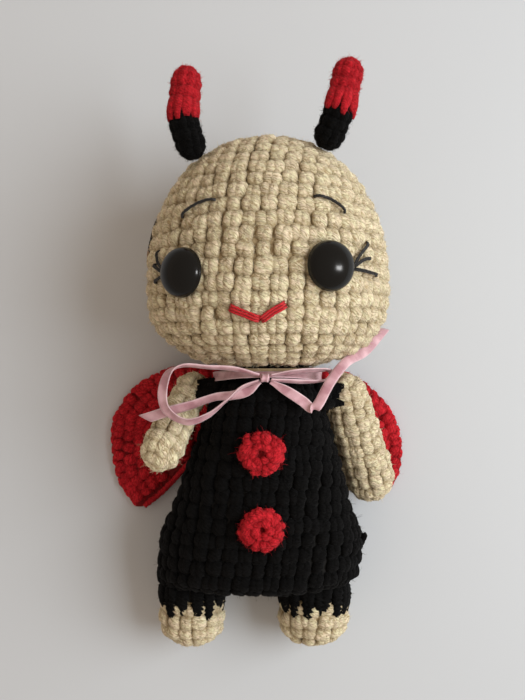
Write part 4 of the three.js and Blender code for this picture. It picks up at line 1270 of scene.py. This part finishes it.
def inside_of(points, outline):
    """Whether each point lies in a closed outline."""
    x, y = points[:, :1], points[:, 1:2]
    x0, y0 = outline.T
    x1, y1 = np.roll(outline, -1, axis=0).T
    crosses = (y0 > y) != (y1 > y)
    reach = x0 + (y - y0) * (x1 - x0) / np.where(y1 == y0, 1e-9, y1 - y0)
    return (crosses & (x < reach)).sum(1) % 2 == 1


def wings():
    """Rows of stitches on both faces, an inside painted dark as shade, and two strands along the inner edge.
    """
    for name, side in SIDES.items():
        form = wing_form(name)
        outer, inner = wing_edges(name)
        outline = np.concatenate([outer, inner[::-1]])
        middle = form.length / 2

        def keep(points):
            near = np.linalg.norm(points[:, None, :2] - inner[None], axis=2).min(1)
            return inside_of(points, outline) & (near > 1.6)

        build = Build()
        rim, rows = [], []
        for i in range(-WING_ROWS, WING_ROWS + 1):
            stitches = round(form.girth(middle + i * WING_ROW) / WING_STITCH_WIDTH)
            chosen = rows if i else rim
            chosen.append((middle + (i - 0.5) * WING_ROW, WING_ROW, stitches, 0))
        add_stitches(build, form, rim, **WING_YARN)
        add_stitches(build, form, rows, keep=keep, **WING_YARN)
        add_fuzz(build, FUZZ["wing"])
        share = 0.5 - 0.5 * np.cos(np.linspace(0.35, math.pi - 0.35, 14))
        rings = []
        for near, far in zip(inner, outer):
            xy = near + (far - near) * share[:, None]
            lie = wing_lie(side, xy[:, 0], xy[:, 1])
            thick = 0.75 * (1 - np.abs(2 * share - 1) ** 6) ** 0.5
            upper, lower = np.column_stack([xy, lie + thick]), np.column_stack([xy, lie - thick])
            rings.append(np.concatenate([upper, lower[::-1]]))
        skin(build, rings, 1)
        edge = np.column_stack([inner, wing_lie(side, inner[:, 0], inner[:, 1])])
        for lift in (-0.7, 0.7):
            add_strands(build, (edge + lift * UP)[::2], UP, 1.0, plies=3, twist=5.0, groove=0.75)
        piece(build, f"wing_{name}_crochet", f"wing_{name}", "red_yarn", f"wing_{name}", fill=0.2)


# Ribbon

def strap_rings(places, steps, width=RIBBON_WIDTH, thickness=RIBBON_THICKNESS, cut=(0.0, 0.0),
                gather=(0.0, 0.0)):
    """Rings of a flat ribbon, its middle line, and its UV map. cut slants the first and last ends, and
    gather is the share of the width that each end loses."""
    places = np.asarray(places, float)
    line = smooth_line(places[:, :3], steps)
    tangent = unit(np.gradient(line, axis=0))
    spot = np.linspace(0, len(places) - 1, steps)
    wide = unit(rows_at(spot, np.arange(len(places)), unit(places[:, 3:])))
    wide = unit(wide - (wide * tangent).sum(1, keepdims=True) * tangent)
    thin = np.cross(tangent, wide)
    w = np.linspace(-1, 1, 9)
    edge = 0.55 + 0.45 * np.sqrt(1 - np.abs(w) ** 6)
    cup = RIBBON_CUP * (w ** 2 - 0.4)
    run = way_along(line)
    first, last = (np.exp(-(way / GATHER_LENGTH) ** 2) for way in (run, run[-1] - run))
    half = width / 2 * (1 - gather[0] * first - gather[1] * last)
    share = np.linspace(0, 1, steps)[:, None]
    slant = cut[0] * (1 - share) ** 12 + cut[1] * share ** 12
    across = wide[:, None] * (half[:, None] * w)[..., None]
    along = tangent[:, None] * (slant * w)[..., None]
    sheets = []
    for sign in (1, -1):
        out = cup + sign * edge * thickness / 2
        sheets.append(line[:, None] + across + thin[:, None] * out[:, None] + along)
    rings = np.concatenate([sheets[0][:, ::-1], sheets[1]], axis=1)
    v = np.concatenate([(w[::-1] + 1) / 2, (w + 1) / 2])
    return rings, line, ring_uvs(run, v, np.roll(v, -1))


def free_ribbon(name, places, far_end, cut=(0.0, 0.0)):
    middle = KNOT + (0, BOW_RISE, 0)
    places = [(*(middle + place[:3]), *place[3:]) for place in places]
    gather = (KNOT_GATHER, KNOT_GATHER if far_end == "object" else 0.0)
    rings, _, uvs = strap_rings(places, 14 * len(places), width=DRAWN_WIDTH, cut=cut, gather=gather)
    build = Build()
    skin(build, rings, uvs=uvs)
    made = piece(build, f"{name}_satin", "torso", "satin_ribbon", name)
    return made


def neck_band():
    places = []
    count = 24
    for i in range(count + 1):
        angle = 2 * math.pi * i / count + math.pi
        y = NECK_Y - 0.1 + math.cos(angle)
        x, z, wide, deep = body_round(y - RIBBON_WIDTH / 2)
        lift = 1.5 * GAP + RIBBON_THICKNESS
        a, b = max(wide + lift, BAND_RADIUS), max(deep + lift, BAND_RADIUS)
        place = (x + a * math.sin(angle), y + 0.4, z + b * math.cos(angle))
        places.append((*place, 0, 1, -1.7 * math.cos(angle)))
    rings, _, uvs = strap_rings(places, 8 * count, width=DRAWN_WIDTH)
    build = Build()
    skin(build, rings, uvs=uvs)
    piece(build, "neck_band_satin", "torso", "satin_ribbon", "neck_band")


def knot():
    """A short turn of ribbon, drawn in round the crossing."""
    crossing = KNOT + (0, BOW_RISE, 0)
    places = []
    count = 12
    for i in range(count + 1):
        angle = 2 * math.pi * i / count
        y = math.cos(angle) * (KNOT_HEIGHT / 2 - KNOT_INSET[0])
        z = math.sin(angle) * (KNOT_DEPTH / 2 - KNOT_INSET[1])
        places.append((*(crossing + (0.12 * math.sin(2 * angle), y, z)), 1, 0.12 * math.sin(angle), 0))
    rings, line, uvs = strap_rings(places, 72, **KNOT_STRAP)
    middle = line[:, None]
    pinch = 1 - 0.16 * np.sin(np.linspace(0, 10 * math.pi, len(rings)))[:, None, None] ** 2
    build = Build()
    skin(build, middle + (rings - middle) * pinch, uvs=uvs)
    filling = [crossing + (dx, 0, 0) for dx in (-1.1, -0.55, 0, 0.55, 1.1)]
    add_strands(build, smooth_line(filling, 12), UP, 0.85, plies=4, twist=30)
    piece(build, "bow_knot_satin", "torso", "satin_ribbon", "bow_knot")


def ribbon():
    loop = free_ribbon("bow_loop_left", LOOP_LEFT, "object")
    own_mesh(loop)
    free_ribbon("bow_loop_right", LOOP_RIGHT, "object")
    free_ribbon("bow_tail_left", TAIL_LEFT, "bare", cut=(0.0, 1.5))
    free_ribbon("bow_tail_right", TAIL_RIGHT, "bare", cut=(0.0, 1.0))
    neck_band()
    knot()


# Loose ends of yarn

def hip_knot():
    """A small overhand knot of black yarn at the side of the hip."""
    y = HIP_Y + TIE_RISE
    x, z, wide, _ = body_round(y)
    middle = np.array([x + wide - 0.2, y, z])
    t = np.linspace(0, 2 * math.pi, 40)
    line = np.stack([0.5 * np.sin(2 * t) + 0.3 * np.cos(t), 0.95 * np.sin(t) + 0.4 * np.sin(2 * t),
                     0.95 * np.cos(t) - 0.4 * np.cos(2 * t)], -1)
    build = Build()
    add_strands(build, middle + TIE_SIZE * line, (1.0, 0.2, 0.3), TIE_RADIUS)
    piece(build, "yarn_knot_tie", "torso", "black_yarn", "yarn_knot")


def head_loop():
    """Ends of the face's threads, drawn out at the left side of the head."""
    ends = (("black", BLACK_THREAD, [(-77, 36), (-84, 34), (-88, 31), (-85, 28), (-79, 27)]),
            ("tan", TAN_THREAD, [(-79, 28), (-86, 27), (-89, 24.5), (-84, 23)]))
    for name, made, places in ends:
        line = []
        for i, (azimuth, y) in enumerate(smooth_line(places, 24)):
            lift = 1.1 * math.sin(math.pi * i / 23) - 0.3
            line.append(on_face(azimuth, y, lift)[0])
        build = Build()
        add_strands(build, line, UP, 0.42, **THREAD)
        piece(build, f"thread_end_{name}", "head", "black_thread", finish=[made])


def carried_over():
    """Materials for the hidden solids that stay as they are."""
    for name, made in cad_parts.items():
        if "stuffing" in name:
            finish = FIBRE
        elif "washer" in name:
            finish = WASHER
        elif "seam" in name:
            finish = CREAM_INSIDE
        else:
            continue
        for slot in made.material_slots:
            slot.material = finish


camera()
ribbon()
floor()
light()
head()
eyes()
face_threads()
body()
feet()
buttons()
arms()
antennae()
wings()
hip_knot()
head_loop()
carried_over()
